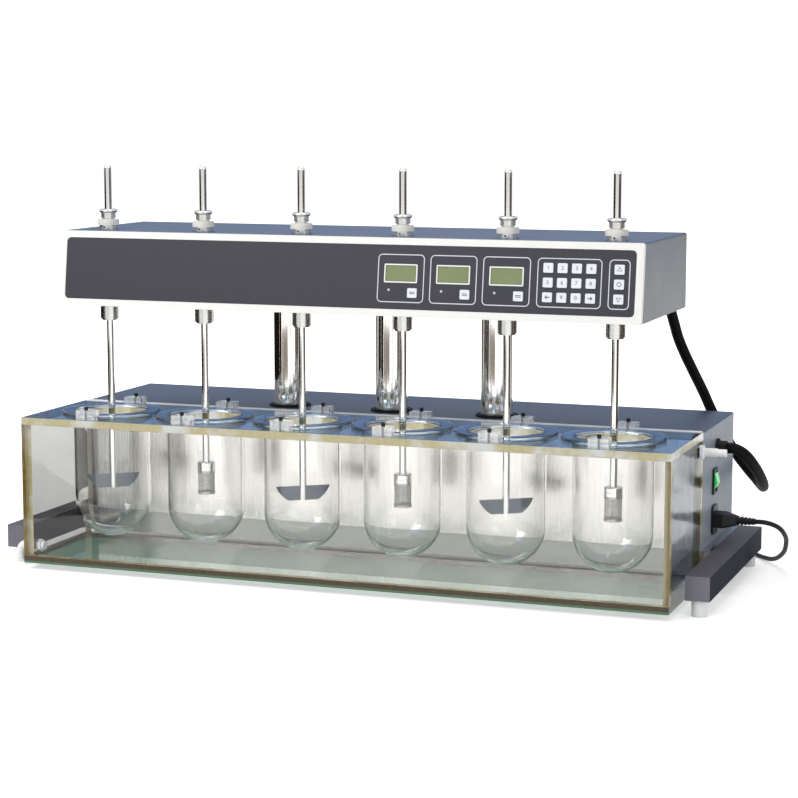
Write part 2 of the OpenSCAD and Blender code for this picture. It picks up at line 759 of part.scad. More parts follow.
module power_inlet() {
    color("#161719") right_end() difference() {
        union() {
            end_block(entry_y, inlet_z, [inlet_w, inlet_h], 9, seat, inlet_lip);
            end_block(entry_y, inlet_z, inlet_body, 2, -22, 22 + cut);
        }
        end_block(entry_y, inlet_z, socket, 2, inlet_lip - plug_in - 1, plug_in + 1 + cut);
        for (s = [-1, 1]) translate([-cut, entry_y, inlet_z + s * (inlet_h / 2 - 5)]) rotate([0, 90, 0])
            cylinder(d = 3.4, h = 6);
    }
}

connector_len = 30;
lead_start = cab_w / 2 + LEAD_POINTS[0].x;

// A strain relief of rings round a lead, from z = 0 up
module strain_relief(d, len) {
    ribs = 5;
    rotate_extrude() {
        square([d / 2 + 1, len]);
        for (k = [0 : ribs - 1]) translate([0, k * len / ribs])
            square([d / 2 + 1 + 2.2 * (1 - k / ribs), 0.6 * len / ribs]);
    }
}

module cord_connector() {
    start = cab_w / 2 + inlet_lip + 2 * seat;
    grip = socket + [2.4, 2.4];
    color("#161719") {
        end_block(entry_y, inlet_z, socket - [0.6, 0.6], 1.7, start - plug_in, plug_in + cut);
        end_block(entry_y, inlet_z, grip, 3, start, 12);
        hull() {
            end_block(entry_y, inlet_z, grip, 3, start + 11, 1, $fn = 32);
            end_block(entry_y, inlet_z, [15, 13], 4, start + connector_len - 1, 1, $fn = 32);
        }
        translate([start + connector_len - seat, entry_y, inlet_z]) rotate([0, 90, 0])
            strain_relief(cord_d, lead_start - start - connector_len + seat);
    }
}

module power_cord() {
    color("#141416") tube(CORD_ROUTE, cord_d, 8, [0, 0, 1]);
}

module cord_coil() {
    color("#141416") tube(COIL_ROUTE, cord_d, 6, [0, 0, 1]);
}

// Mains plug with three flat blades, lying at the end of the coil
module mains_plug() {
    at = COIL_ROUTE[len(COIL_ROUTE) - 1];
    body = [33, 2 * at.z - 2 * seat];
    color("#161719") translate(at) rotate([90, 0, 90]) {
        strain_relief(cord_d, 20);
        translate([0, 0, 19]) hull() {
            linear_extrude(1) round_rect(16, 14, 5, $fn = 32);
            translate([0, 0, 13]) linear_extrude(1) round_rect(body.x, body.y, 6, $fn = 32);
        }
        translate([0, 0, 32]) linear_extrude(22) round_rect(body.x, body.y, 6);
        for (s = [-1, 1]) translate([s * 7.9, 2.6, 53]) rotate(s * 30)
            linear_extrude(18) square([1.6, 6.3], center = true);
        translate([0, -5, 53]) linear_extrude(21) square([1.6, 6.3], center = true);
    }
}

module conduit() {
    color("#1a1a1c") tube(CONDUIT_ROUTE, conduit_d, 12, [0, 0, 1]);
}

// Columns and head

module lift_columns() {
    color("#dfe1e4") at_columns() translate([0, 0, column_low]) difference() {
        cylinder(d = column_d, h = head_z - seat - column_low);
        translate([0, 0, 6]) cylinder(d = column_d - 2 * column_wall, h = head_z - column_low);
    }
}

chassis_t = 2.5;
cover_gap = 0.2;                              // between the cover and the chassis

module head_chassis() {
    w = head_w - 2 * (skin + cover_gap);
    last = len(CONDUIT_ROUTE) - 1;
    end = CONDUIT_ROUTE[last];
    way = unit(CONDUIT_ROUTE[last] - CONDUIT_ROUTE[last - 1]);
    elbow = 14;
    tilt = acos(way.z);
    knee_y = end.y + elbow * way.y;
    knee_z = end.z + elbow * way.z;
    color("#84888d") difference() {
        union() {
            translate([-w / 2, front_low_y, head_z])
                cube([w, head_back_y - front_low_y, chassis_t]);
            translate([-w / 2, head_back_y - chassis_t, head_z])
                cube([w, chassis_t, head_h - skin - cover_gap]);
            translate([end.x, end.y, end.z]) rotate([tilt, 0, 0]) {
                translate([0, 0, seat]) cylinder(d = gland_d, h = elbow - seat);
                translate([0, 0, elbow]) sphere(d = gland_d);
            }
            translate([end.x, head_back_y - cut, knee_z]) rotate([-90, 0, 0])
                cylinder(d = gland_d, h = knee_y - head_back_y + cut);
        }
        ahead_of_cover();
        at_stations() translate([0, 0, head_z - cut]) cylinder(d = shank_d + 4, h = chassis_t + 2 * cut);
    }
}

module head_cover() {
    bend = 3;
    color("#7f8894") difference() {
        translate([0, head_back_y, head_z]) rotate([90, 0, 0])
            linear_extrude(head_back_y - front_low_y) difference() {
                arch(head_w, head_h, bend);
                translate([0, -cut]) arch(head_w - 2 * skin, head_h - skin + cut, bend - skin / 2);
            }
        ahead_of_cover();
        at_stations() translate([0, 0, head_z]) cylinder(d = hub_d + 3, h = head_h + cut);
    }
}

module front_bezel() {
    color("#f5f3ee") on_front() translate([0, face_h / 2, 0]) difference() {
        translate([0, 0, -bezel_t]) linear_extrude(bezel_t) round_rect(head_w, face_h, 2.5);
        translate([0, 0, -panel_back - seat]) linear_extrude(bezel_t)
            round_rect(panel_w + 2 * panel_gap, panel_h + 2 * panel_gap, 6);
        translate([0, 0, -bezel_t - cut]) linear_extrude(bezel_t)
            round_rect(panel_w - 2 * panel_ledge, panel_h - 2 * panel_ledge, 4);
    }
}

module control_panel() {
    color("#4e4f5a") on_front() difference() {
        translate([0, face_h / 2, -panel_back]) linear_extrude(panel_t) round_rect(panel_w, panel_h, 6);
        translate([0, 0, -panel_back - cut]) linear_extrude(panel_t + 2 * cut) {
            for (k = KEY_AT) translate(k) round_rect(key_w + 2 * key_fit, key_h + 2 * key_fit, 1.7);
            for (i = [0:2]) translate([lcd_first + i * lcd_pitch, lcd_row]) square([lcd_w, lcd_h], center = true);
        }
    }
}

module key_cap(k) {
    lower = -key_foot;
    color("#e4e8f3") on_front() translate(KEY_AT[k]) {
        translate([0, 0, lower]) linear_extrude(key_rise - panel_sunk + key_foot) round_rect(key_w, key_h, 1.5);
        translate([0, 0, lower]) linear_extrude(key_foot - panel_back - seat)
            round_rect(key_w + 2 * key_flange, key_h + 2 * key_flange, 1.5);
    }
}

// Board behind the panel: displays in front, a switch under each key, posts to the bezel's back
module display_board() {
    left = lcd_first - lcd_w / 2 - 12;
    right = lift_keys + key_w / 2 + 10;
    low = bezel_edge + 3;
    high = face_h - bezel_edge - 3;
    glass_in = 1.2;                           // display's glass behind the bezel's face
    switch_top = key_foot + key_travel + 0.3;
    on_front() {
        color("#2f5d45") {
            translate([left, low - 6, -board_in - board_t]) cube([right - left, high - low + 12, board_t]);
            for (k = KEY_AT) translate([k.x - 3, k.y - 3, -board_in - board_t / 2])
                cube([6, 6, board_in - switch_top + board_t / 2]);
            for (x = [left + 5, (left + right) / 2, right - 5], y = [low - 2, high + 2])
                translate([x, y, -board_in - board_t / 2]) cylinder(d = 5, h = board_in - bezel_t - seat + board_t / 2);
        }
        color("#8c9b5f") for (i = [0:2]) translate([lcd_first + i * lcd_pitch, lcd_row, -board_in + seat]) {
            translate([-lcd_w / 2 - 2, -lcd_h / 2 - 2, 0])
                cube([lcd_w + 4, lcd_h + 4, board_in - panel_back - 2 * seat]);
            translate([key_fit - lcd_w / 2, key_fit - lcd_h / 2, 0])
                cube([lcd_w - 2 * key_fit, lcd_h - 2 * key_fit, board_in - glass_in - seat]);
        }
    }
}

// Drive

housing_low = head_z + chassis_t + seat;
housing_top = pulley_z - 3;

module bearing_housings() {
    flange_h = 5;
    color("#8b8f94") at_stations() difference() {
        union() {
            translate([0, 0, housing_low]) cylinder(d = housing_d, h = housing_top - housing_low);
            translate([0, 0, housing_low]) cylinder(d = housing_d + 14, h = flange_h);
        }
        translate([0, 0, head_z]) cylinder(d = shank_d + 2 * bearing_fit, h = head_h);
    }
}

motor_shaft = 10;

module drive_motor() {
    body = 58;
    gear_h = 16;
    top = pulley_z - 4;
    color("#3c4046") translate([motor_x, line_y, 0]) {
        translate([0, 0, housing_low]) linear_extrude(top - gear_h - housing_low) round_rect(body, body, 5);
        translate([0, 0, top - gear_h - cut]) cylinder(d = body - 6, h = gear_h + cut);
        translate([0, 0, top - cut]) cylinder(d = motor_shaft, h = pulley_h + 6);
    }
}

// A flanged belt pulley with a bore, from pulley_z up
module pulley(bore) {
    translate([0, 0, pulley_z]) difference() {
        union() {
            cylinder(d = pulley_d, h = pulley_h);
            for (z = [0, pulley_h - pulley_lip]) translate([0, 0, z])
                cylinder(d = pulley_d + 2 * belt_t + 2, h = pulley_lip);
        }
        translate([0, 0, -cut]) cylinder(d = bore, h = pulley_h + 2 * cut);
    }
}

module motor_pulley() {
    color("#b9bcc0") translate([motor_x, line_y, 0]) pulley(motor_shaft + 2 * bearing_fit);
}

module belt_outline(r) {
    half = station_x(stations);
    square([2 * half, 2 * r], center = true);
    for (x = [-half, half]) translate([x, 0]) circle(r);
}

module drive_belt() {
    inner = pulley_d / 2 + 0.3;
    color("#232326") translate([0, line_y, pulley_z + (pulley_h - belt_w) / 2]) linear_extrude(belt_w)
        difference() {
            belt_outline(inner + belt_t);
            belt_outline(inner);
        }
}

// Chuck nose, shank and hub: a hollow spindle, turned in one piece
module spindle_body() {
    bore = rod_d / 2 + rod_fit;
    shoulder = head_z - 0.4;
    rotate_extrude() difference() {
        union() {
            translate([0, nose_z + 2]) square([nose_d / 2, shoulder - nose_z - 2]);
            translate([0, nose_z]) square([nose_d / 2 - 2, 3]);
            translate([0, nose_z]) square([shank_d / 2, pulley_z - nose_z]);
            translate([0, pulley_z - cut]) square([shank_d / 2, hub_top - pulley_z]);
            translate([0, pulley_z + pulley_h + 1]) square([hub_d / 2, hub_top - pulley_z - pulley_h - 1]);
            translate([0, hub_top - cut]) square([neck_d / 2, nut_top - 4 - hub_top + cut]);
        }
        translate([0, nose_z - cut]) square([bore, rod_top - nose_z]);
    }
}

module collet_nut() {
    rim = nut_h / 2.4;
    groove = 0.8;
    translate([0, 0, nut_low]) rotate_extrude() difference() {
        union() {
            square([nut_d / 2, nut_h]);
            translate([0, nut_h - rim]) square([nut_rim_d / 2 - rim / 2, rim]);
            translate([nut_rim_d / 2 - rim / 2, nut_h - rim / 2]) circle(rim / 2);
        }
        for (z = [0.14, 0.36]) translate([nut_d / 2 - groove, z * nut_h]) square([2 * groove, 1.1]);
        translate([0, -cut]) square([rod_d / 2 + rod_fit + 0.2, nut_h + 2 * cut]);
        translate([0, -cut]) square([neck_d / 2 + seat, nut_h - 3 + cut]);
    }
}

module spindle(i) {
    translate([station_x(i), line_y, 0]) {
        color("#c9ccd0") difference() {
            spindle_body();
            // Hole of the hub's set screw
            translate([0, 0, head_top + hub_rise / 2]) rotate([90, 0, 0])
                translate([0, 0, hub_d / 2 - 4]) cylinder(d = 2.6, h = 5);
        }
        color("#b9bcc0") pulley(shank_d + 2 * seat);
        color("#e6dcc0") translate([0, 0, hub_top + seat]) ring(collar_d, neck_d + 2 * seat, collar_h);
        color("#c9ccd0") collet_nut();
    }
}

// A shaft with a domed top, from z = low up
module shaft(low) {
    dome = rod_d / 2;
    translate([0, 0, low]) cylinder(d = rod_d, h = rod_top - dome - low);
    translate([0, 0, rod_top - dome]) sphere(dome);
}

// A blade is cut from a round plate: both widths and the height give the plate's radius
module blade_outline() {
    below = (pow(blade_top / 2, 2) - pow(blade_low / 2, 2) - pow(blade_h, 2)) / (2 * blade_h);
    plate_r = norm([blade_top / 2, below]);
    translate([0, below + blade_h]) intersection() {
        circle(plate_r, $fn = 128);
        translate([-blade_top / 2, -below - blade_h]) square([blade_top, blade_h]);
    }
}

module paddle_shaft(i) {
    color("#aab4c4") translate([station_x(i), line_y, 0]) {
        shaft(tool_z);
        translate([0, 0, tool_z]) rotate([90, 0, blade_turn]) linear_extrude(blade_t, center = true)
            blade_outline();
    }
}

module basket_shaft(i) {
    rim_r = screen_d / 2 + rim_out;
    rim_h = 3.5;
    cap_z = tool_z + basket_h - cap_h;
    translate([station_x(i), line_y, 0]) {
        color("#b9bec6") difference() {
            union() {
                shaft(cap_z + 2);
                translate([0, 0, cap_z]) rotate_extrude() difference() {
                    square([rim_r, cap_h]);
                    // Groove between the two rings of the cap, and an eased top edge
                    translate([rim_r - 0.9, 0.4 * cap_h]) square([2, 1.6]);
                    translate([rim_r, cap_h]) rotate(45) square(1.4, center = true);
                }
            }
            rotate(30) translate([rim_r - 2.5, 0, cap_z - cut]) cylinder(d = 2, h = cap_h + 3 * cut);
        }
        color("#c9ccd0") translate([0, 0, tool_z]) rotate_extrude() difference() {
            union() {
                square([screen_d / 2, cap_z - seat - tool_z]);
                square([rim_r, rim_h]);
                translate([0, cap_z - seat - tool_z - rim_h]) square([rim_r, rim_h]);
            }
            translate([0, screen_t]) square([screen_d / 2 - screen_t, basket_h]);
        }
    }
}

base_frame();
feet();
bath_tank();
vessel_plate();
vessels();
vessel_clamps();
bath_fittings();
cabinet_cover();
cabinet_front();
rubber_seals();
lift_unit();
circulation_pump();
switch_bezel();
rocker_switch();
power_inlet();
cord_connector();
power_cord();
cord_coil();
mains_plug();
conduit();
lift_columns();
head_chassis();
head_cover();
front_bezel();
control_panel();
display_board();
bearing_housings();
drive_motor();
motor_pulley();
drive_belt();
for (i = [1:stations]) spindle(i);
for (i = [1:stations]) union() {
    if (i % 2 == 1) paddle_shaft(i); else basket_shaft(i);
}
for (k = [0 : len(KEY_AT) - 1]) key_cap(k);
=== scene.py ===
# %% [markdown]
# # A six-station dissolution tester
# Six glass vessels hang in a clear water bath, and a head on three columns turns a paddle or a basket in
# each of them. The solids come ready made, so this lesson is about the looks: finishes, the printed panel,
# the woven baskets, the leads and the light.
# The first step loads the solids. They stay where they are, and everything else is placed round them in
# the same frame: metres, X along the row of stations, Y to the back and Z up from the bench.

import json
import math

import bmesh
import bpy
from mathutils import Matrix, Vector


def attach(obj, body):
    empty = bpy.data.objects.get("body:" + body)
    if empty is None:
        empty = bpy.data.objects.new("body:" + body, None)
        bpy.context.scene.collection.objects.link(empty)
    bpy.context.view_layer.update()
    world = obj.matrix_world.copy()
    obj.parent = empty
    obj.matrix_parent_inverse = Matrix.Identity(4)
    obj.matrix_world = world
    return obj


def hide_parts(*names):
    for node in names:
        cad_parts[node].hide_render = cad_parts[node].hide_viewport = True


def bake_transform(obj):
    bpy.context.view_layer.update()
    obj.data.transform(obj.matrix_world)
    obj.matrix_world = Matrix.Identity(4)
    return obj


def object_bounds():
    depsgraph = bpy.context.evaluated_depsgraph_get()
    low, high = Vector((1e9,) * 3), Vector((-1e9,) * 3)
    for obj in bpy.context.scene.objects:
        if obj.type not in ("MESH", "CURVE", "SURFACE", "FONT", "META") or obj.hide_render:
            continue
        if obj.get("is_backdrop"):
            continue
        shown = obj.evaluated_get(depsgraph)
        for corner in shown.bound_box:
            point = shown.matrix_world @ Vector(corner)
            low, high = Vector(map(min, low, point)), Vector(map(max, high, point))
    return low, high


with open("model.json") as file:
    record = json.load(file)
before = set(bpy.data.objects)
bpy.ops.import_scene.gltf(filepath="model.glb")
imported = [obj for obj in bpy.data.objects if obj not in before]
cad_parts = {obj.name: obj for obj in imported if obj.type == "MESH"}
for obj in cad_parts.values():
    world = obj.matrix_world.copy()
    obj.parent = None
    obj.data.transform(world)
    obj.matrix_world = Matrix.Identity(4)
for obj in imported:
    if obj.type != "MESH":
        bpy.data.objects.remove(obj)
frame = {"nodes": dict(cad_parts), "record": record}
NODES = frame["nodes"]
cad_low, cad_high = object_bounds()
scene = bpy.context.scene
MM = 0.001
print("solids:", len(NODES), "box:", [round(v, 3) for v in cad_high - cad_low])

# %% [markdown]
# ## The camera
# The picture was taken with a long lens from the right and a little above, so upright edges stay nearly
# parallel. A camera was fitted to the stations, the rails and the head, and its numbers are written here:
# a turn of 20 degrees to the left, a tilt of 8 degrees down, and no shift.

# %% Camera
SENSOR, LENS = 36, 96.41
TURN_LEFT, TILT_DOWN = 20.07, 7.82
camera = bpy.data.objects.new("camera", bpy.data.cameras.new("camera"))
camera.data.sensor_width = SENSOR
camera.data.lens = LENS
camera.location = (1.04425, -2.78247, 0.64522)
camera.rotation_euler = (math.radians(90 - TILT_DOWN), 0, math.radians(TURN_LEFT))
scene.collection.objects.link(camera)
scene.camera = camera
scene.view_settings.view_transform = "Standard"
print("camera at", [round(v, 2) for v in camera.location])

# %% [markdown]
# ## Two small helpers for every finish
# Colours are written as the hex values that a paint program shows, and Blender mixes light in linear
# numbers, so one function converts them. Another adds a shader node: its own settings by name, and for each
# input either a value or the output that feeds it. With these two, a finish reads like a recipe.

# %% Helpers for finishes
def colour(code):
    """A hex sRGB colour as linear red, green and blue, with an alpha of one."""
    parts = [int(code[i:i + 2], 16) / 255 for i in (1, 3, 5)]
    return [c / 12.92 if c <= 0.04045 else ((c + 0.055) / 1.055) ** 2.4 for c in parts] + [1.0]


def add(tree, kind, sockets=None, **settings):
    """Adds a node: settings are its own properties, sockets its inputs, as values or feeding outputs."""
    node = tree.nodes.new("ShaderNode" + kind)
    for name, value in settings.items():
        setattr(node, name, value)
    for name, value in (sockets or {}).items():
        if isinstance(value, bpy.types.NodeSocket):
            tree.links.new(value, node.inputs[name])
        else:
            node.inputs[name].default_value = value
    return node


def new_finish(name):
    """An empty material and its node tree."""
    material = bpy.data.materials.new(name)
    material.use_nodes = True
    material.node_tree.nodes.clear()
    return material, material.node_tree


print("white is", colour("#ffffff"))

# %% [markdown]
# ## Black jackets: lead and conduit
# The mains lead has a PVC jacket, extruded and slightly dull. The conduit is a softer sleeve with a fine
# wound rib. Both are nearly black, so what the eye sees is the sheen along them: it comes from roughness,
# and a fine bump breaks it up. The rib is drawn 3 mm apart, coarser than the real 1 mm, so that it shows.

# %% Jackets
# Extruded PVC: nearly black, with one soft line of light along it.
pvc_jacket, tree = new_finish("pvc_jacket_extruded")
place = add(tree, "TexCoord").outputs["Object"]
dust = add(tree, "TexNoise", {"Vector": place, "Scale": 1 / (14 * MM), "Detail": 3})
grain = add(tree, "TexNoise", {"Vector": place, "Scale": 1 / (0.8 * MM)})
tone = add(tree, "Mix", {0: dust.outputs["Fac"], 6: colour("#0a0a0b"), 7: colour("#151517")}, data_type="RGBA")
rough = add(tree, "MapRange", {"Value": dust.outputs["Fac"], "To Min": 0.36, "To Max": 0.56})
relief = add(tree, "Bump", {"Height": grain.outputs["Fac"], "Strength": 0.08, "Distance": 0.2 * MM})
shader = add(tree, "BsdfPrincipled", {"Base Color": tone.outputs[2], "Roughness": rough.outputs[0],
                                      "IOR": 1.53, "Specular IOR Level": 0.2, "Normal": relief.outputs[0]})
add(tree, "OutputMaterial", {"Surface": shader.outputs[0]})

# Wound rubber: blacker still, and its ribs break the line of light into dashes.
RIB = 3
sleeve_rubber, tree = new_finish("conduit_sleeve_wound")
coordinates = add(tree, "TexCoord")
# A wave texture goes through 20 radians in one unit, so this scale gives one wave to a rib.
rib = add(tree, "TexWave", {"Vector": coordinates.outputs["UV"], "Scale": 2 * math.pi / 20 / (RIB * MM),
                            "Distortion": 0.0}, bands_direction="Y")
dust = add(tree, "TexNoise", {"Vector": coordinates.outputs["Object"], "Scale": 1 / (20 * MM)})
tone = add(tree, "Mix", {0: dust.outputs["Fac"], 6: colour("#030304"), 7: colour("#08080a")}, data_type="RGBA")
relief = add(tree, "Bump", {"Height": rib.outputs["Fac"], "Strength": 0.35, "Distance": 0.5 * MM})
shader = add(tree, "BsdfPrincipled", {"Base Color": tone.outputs[2], "Roughness": 0.55, "IOR": 1.5,
                                      "Specular IOR Level": 0.12, "Normal": relief.outputs[0]})
add(tree, "OutputMaterial", {"Surface": shader.outputs[0]})
print("jackets:", pvc_jacket.name, sleeve_rubber.name)

# %% [markdown]
# ## Mains lead
# The lead leaves its connector on the right end of the cabinet, drops to the bench in one loose curve and
# runs round the back corner. What the picture doesn't show of it is wound into a small coil behind the
# cabinet. A curve with a round bevel is the plainest way to make a cord: its line is the cord's own middle,
# so its length can be measured. The route's points are those that the solids follow.

# %% Mains lead
LEAD_ROUTE = [(519, 69, 84), (530, 69, 84), (541, 73, 81), (549, 82, 75), (553, 95, 66), (554, 111, 55),
              (551, 128, 42), (546, 145, 30), (538, 162, 20), (529, 179, 12), (518, 197, 6.5), (505, 216, 4),
              (490, 235, 3.3), (472, 254, 3.3), (452, 271, 3.3), (430, 286, 3.3), (406, 298, 3.3),
              (381, 308, 3.3), (355, 314, 3.3), (328, 317.4, 3.3), (304, 318, 3.3)]
LEAD_D, LEAD_Z = 6.5, 3.3
# The coil: its middle and its middle radius, how far its turns lie apart, and its turns.
COIL_X, COIL_Y, COIL_R = 290, 270, 39
LAY = 7.2
TURNS, COIL_STEPS = 5.5, 24
# The coil has its middle radius this many turns from its innermost one.
MIDDLE_TURN = 1.5
# The lead climbs to the upper layer within half a turn, and its end runs straight to the plug.
CLIMB_FROM, CLIMB_FOR = 2.5, 0.5
TAIL = 18


def coil_point(t):
    """A point on the coil after t turns: inwards in the lower layer, outwards in the upper one."""
    r = COIL_R + LAY * (abs(t - TURNS / 2) - MIDDLE_TURN)
    a = math.radians(90 + 360 * t)
    climb = min(1, max(0, (t - CLIMB_FROM) / CLIMB_FOR))
    return Vector((COIL_X + r * math.cos(a), COIL_Y + r * math.sin(a), LEAD_Z + LAY * climb)) * MM


def smooth(points, steps):
    """Points in metres on a smooth curve through points in millimetres."""
    p = [Vector(q) * MM for q in points]
    p = [2 * p[0] - p[1]] + p + [2 * p[-1] - p[-2]]
    line = []
    for a, b, c, d in zip(p, p[1:], p[2:], p[3:]):
        for t in (k / steps for k in range(steps)):
            line.append(0.5 * (2 * b + (c - a) * t + (2 * a - 5 * b + 4 * c - d) * t ** 2
                               + (3 * b - a - 3 * c + d) * t ** 3))
    return line + [p[-2]]


def run(line):
    """The length of a line of points."""
    return sum((b - a).length for a, b in zip(line, line[1:]))


coil = [coil_point(k / COIL_STEPS) for k in range(int(TURNS * COIL_STEPS) + 1)]
lead_line = smooth(LEAD_ROUTE, 6) + coil + [coil[-1] + Vector((TAIL * MM, 0, 0))]
curve = bpy.data.curves.new("mains_lead", "CURVE")
curve.dimensions = "3D"
curve.bevel_depth = LEAD_D / 2 * MM
curve.bevel_resolution = 5
spline = curve.splines.new("POLY")
spline.points.add(len(lead_line) - 1)
for point, at in zip(spline.points, lead_line):
    point.co = (*at, 1)
spline.use_smooth = True
mains_lead = bpy.data.objects.new("mains_lead", curve)
curve.materials.append(pvc_jacket)
scene.collection.objects.link(mains_lead)
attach(mains_lead, "base")
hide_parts("power_cord", "cord_coil")
print("mains lead:", round(run(lead_line), 3), "m")

# %% [markdown]
# ## Helpers for new meshes
# Pieces that the solids lack are built from points and faces. The first helper turns them into an object with
# a finish, smooths it where asked, and lets it ride on the body that carries it. The others give the points
# and faces of the two forms that come back: tubes along a line, and turned forms.

# %% Helpers for meshes
def piece(name, body, finish, points, faces, rounded=False):
    """A mesh object from points in metres and faces, carried by a body."""
    mesh = bpy.data.meshes.new(name)
    mesh.from_pydata([tuple(p) for p in points], [], faces)
    mesh.materials.append(finish)
    for face in mesh.polygons:
        face.use_smooth = rounded
    made = bpy.data.objects.new(name, mesh)
    scene.collection.objects.link(made)
    if body:
        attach(made, body)
    return made


def band(a, b, n, closed=True):
    """Four-sided faces between two rows of n points, given by the index of each row's first point."""
    return [(a + k, a + (k + 1) % n, b + (k + 1) % n, b + k) for k in range(n if closed else n - 1)]


def tubes(lines, r, sides, closed=False, start_side=(0.3, 0.2, 0.93)):
    """Round tubes along lines of points, as rings square to the line; no line may run along start_side."""
    points, faces = [], []
    for line in lines:
        start, n, side = len(points), len(line), Vector(start_side)
        for k, at in enumerate(line):
            ahead = line[(k + 1) % n] if closed else line[min(k + 1, n - 1)]
            behind = line[k - 1] if closed or k else line[0]
            along = (ahead - behind).normalized()
            side = (side - side.dot(along) * along).normalized()
            across = along.cross(side)
            points += [at + r * (math.cos(a) * side + math.sin(a) * across)
                       for a in (2 * math.pi * s / sides for s in range(sides))]
        for k in range(n if closed else n - 1):
            faces += band(start + k * sides, start + (k + 1) % n * sides, sides)
    return points, faces


def turned(profile, sides, place):
    """A turned form: radii and heights in millimetres, put in place by a function."""
    points = [place(r * math.cos(a), r * math.sin(a), z) for r, z in profile
              for a in (2 * math.pi * k / sides for k in range(sides))]
    faces = [f for j in range(len(profile) - 1) for f in band(j * sides, (j + 1) * sides, sides)]
    return points, faces


print("mesh helpers ready")

# %% [markdown]
# ## Conduit
# A soft sleeve carries the wires from the elbow on the head's back to the gland on the cabinet. Its slack
# loop lets the head rise. It is a mesh tube: rings of points along the route, each square to it.

# %% Conduit
CONDUIT_ROUTE = [(475, 82, 181), (486, 82, 181), (499, 93, 171), (508, 114, 152), (512, 143, 131),
                 (510, 172, 116), (503, 199, 111), (490, 219, 118), (474, 229, 132), (458, 232, 151),
                 (440, 229, 181), (425, 220, 211), (415, 206, 240), (405, 182, 272), (397, 163, 298),
                 (391, 146, 322), (388, 130, 345), (386, 116, 364), (386, 108, 374), (386, 102, 382)]
CONDUIT_D, SIDES = 15, 24
line = smooth(CONDUIT_ROUTE, 8)
points, faces = tubes([line], CONDUIT_D / 2 * MM, SIDES, start_side=(0, 0, 1))
faces += [tuple(range(SIDES))[::-1], tuple(range(len(points) - SIDES, len(points)))]
conduit = piece("conduit_sleeve", None, sleeve_rubber, points, faces, rounded=True)
# The texture runs along the sleeve in metres, so that the ribs keep their distance in the bends.
ring_at = [run(line[:k + 1]) for k in range(len(line))]
uv = conduit.data.uv_layers.new(name="along")
for loop in conduit.data.loops:
    uv.data[loop.index].uv = (loop.vertex_index % SIDES / SIDES, ring_at[loop.vertex_index // SIDES])
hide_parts("conduit")
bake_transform(conduit)
print("conduit:", round(run(line), 3), "m")

# %% [markdown]
# ## Sheet paint
# The head and the cabinet are folded sheet with a powder coat. Powder flows before it sets, so the surface
# has a soft orange peel and a satin gloss. The peel is about 1 mm across; it is drawn at 3 mm to show. Tops
# are a slate blue, ends a paler grey and the rails dark, so one recipe is used with different colours. Its
# `mirror` is lowered where a side would shine too much at a glancing angle. A plain colour would look like
# plastic, and an image would have to be painted, so noise does it.

# %% Powder coat
def powder_coat(name, light, dark, gloss=0.42, mirror=0.5):
    """A powder coat between two close tones: cloudy by 60 mm, with a fine orange peel."""
    material, tree = new_finish(name)
    place = add(tree, "TexCoord").outputs["Object"]
    cloud = add(tree, "TexNoise", {"Vector": place, "Scale": 1 / (60 * MM), "Detail": 4, "Roughness": 0.6})
    peel = add(tree, "TexNoise", {"Vector": place, "Scale": 1 / (3 * MM), "Detail": 2})
    tone = add(tree, "Mix", {0: cloud.outputs["Fac"], 6: colour(dark), 7: colour(light)}, data_type="RGBA")
    rough = add(tree, "MapRange", {"Value": cloud.outputs["Fac"], "To Min": gloss - 0.08, "To Max": gloss + 0.1})
    relief = add(tree, "Bump", {"Height": peel.outputs["Fac"], "Strength": 0.10, "Distance": 0.2 * MM})
    shader = add(tree, "BsdfPrincipled", {"Base Color": tone.outputs[2], "Roughness": rough.outputs[0],
                                          "IOR": 1.5, "Specular IOR Level": mirror,
                                          "Normal": relief.outputs[0]})
    add(tree, "OutputMaterial", {"Surface": shader.outputs[0]})
    return material


# Tops: a satin blue that pales towards the back, where it mirrors the light ground.
blue_top = powder_coat("powder_coat_slate_blue", "#3b5071", "#304362")
blue_shelf = powder_coat("powder_coat_blue_grey", "#48566f", "#3c485f")
# Ends: flat quiet greys that set off the blue.
grey_end = powder_coat("powder_coat_grey", "#7d8185", "#6f7377")
pale_end = powder_coat("powder_coat_pale_grey", "#8c97a4", "#808b98", mirror=0.25)
# Rails: dull dark tops, lighter front ends, and sides in the tops' paint made nearly black: painted shade.
dark_rail = powder_coat("powder_coat_dark_slate", "#54515a", "#46434b", 0.5)
rail_side_painted_shade = powder_coat("powder_coat_slate_painted_shade", "#181c2e", "#101421", 0.5, mirror=0.02)
rail_cap = powder_coat("powder_coat_lilac_grey", "#757380", "#676570", 0.5)
print("paints:", len([m for m in bpy.data.materials if m.name.startswith("powder")]))

# %% [markdown]
# ## Bare metal
# The cabinet's front is brushed stainless steel: its grain runs up and down, so the noise is squeezed across
# and stretched along Z. The columns are ground and chromed, almost a mirror. Shafts are ground and spindles
# and nuts turned, which leaves fine rings across their axis. The platform is bright rolled sheet, the
# baskets are drawn wire, and the paddle blades dark coated sheet. Inside there is zinc plate and die-cast
# metal. Metals have no colour of their own beyond the tint of their mirror, so one recipe does for all: the
# pattern goes into roughness and bump, and only a little into the tint.

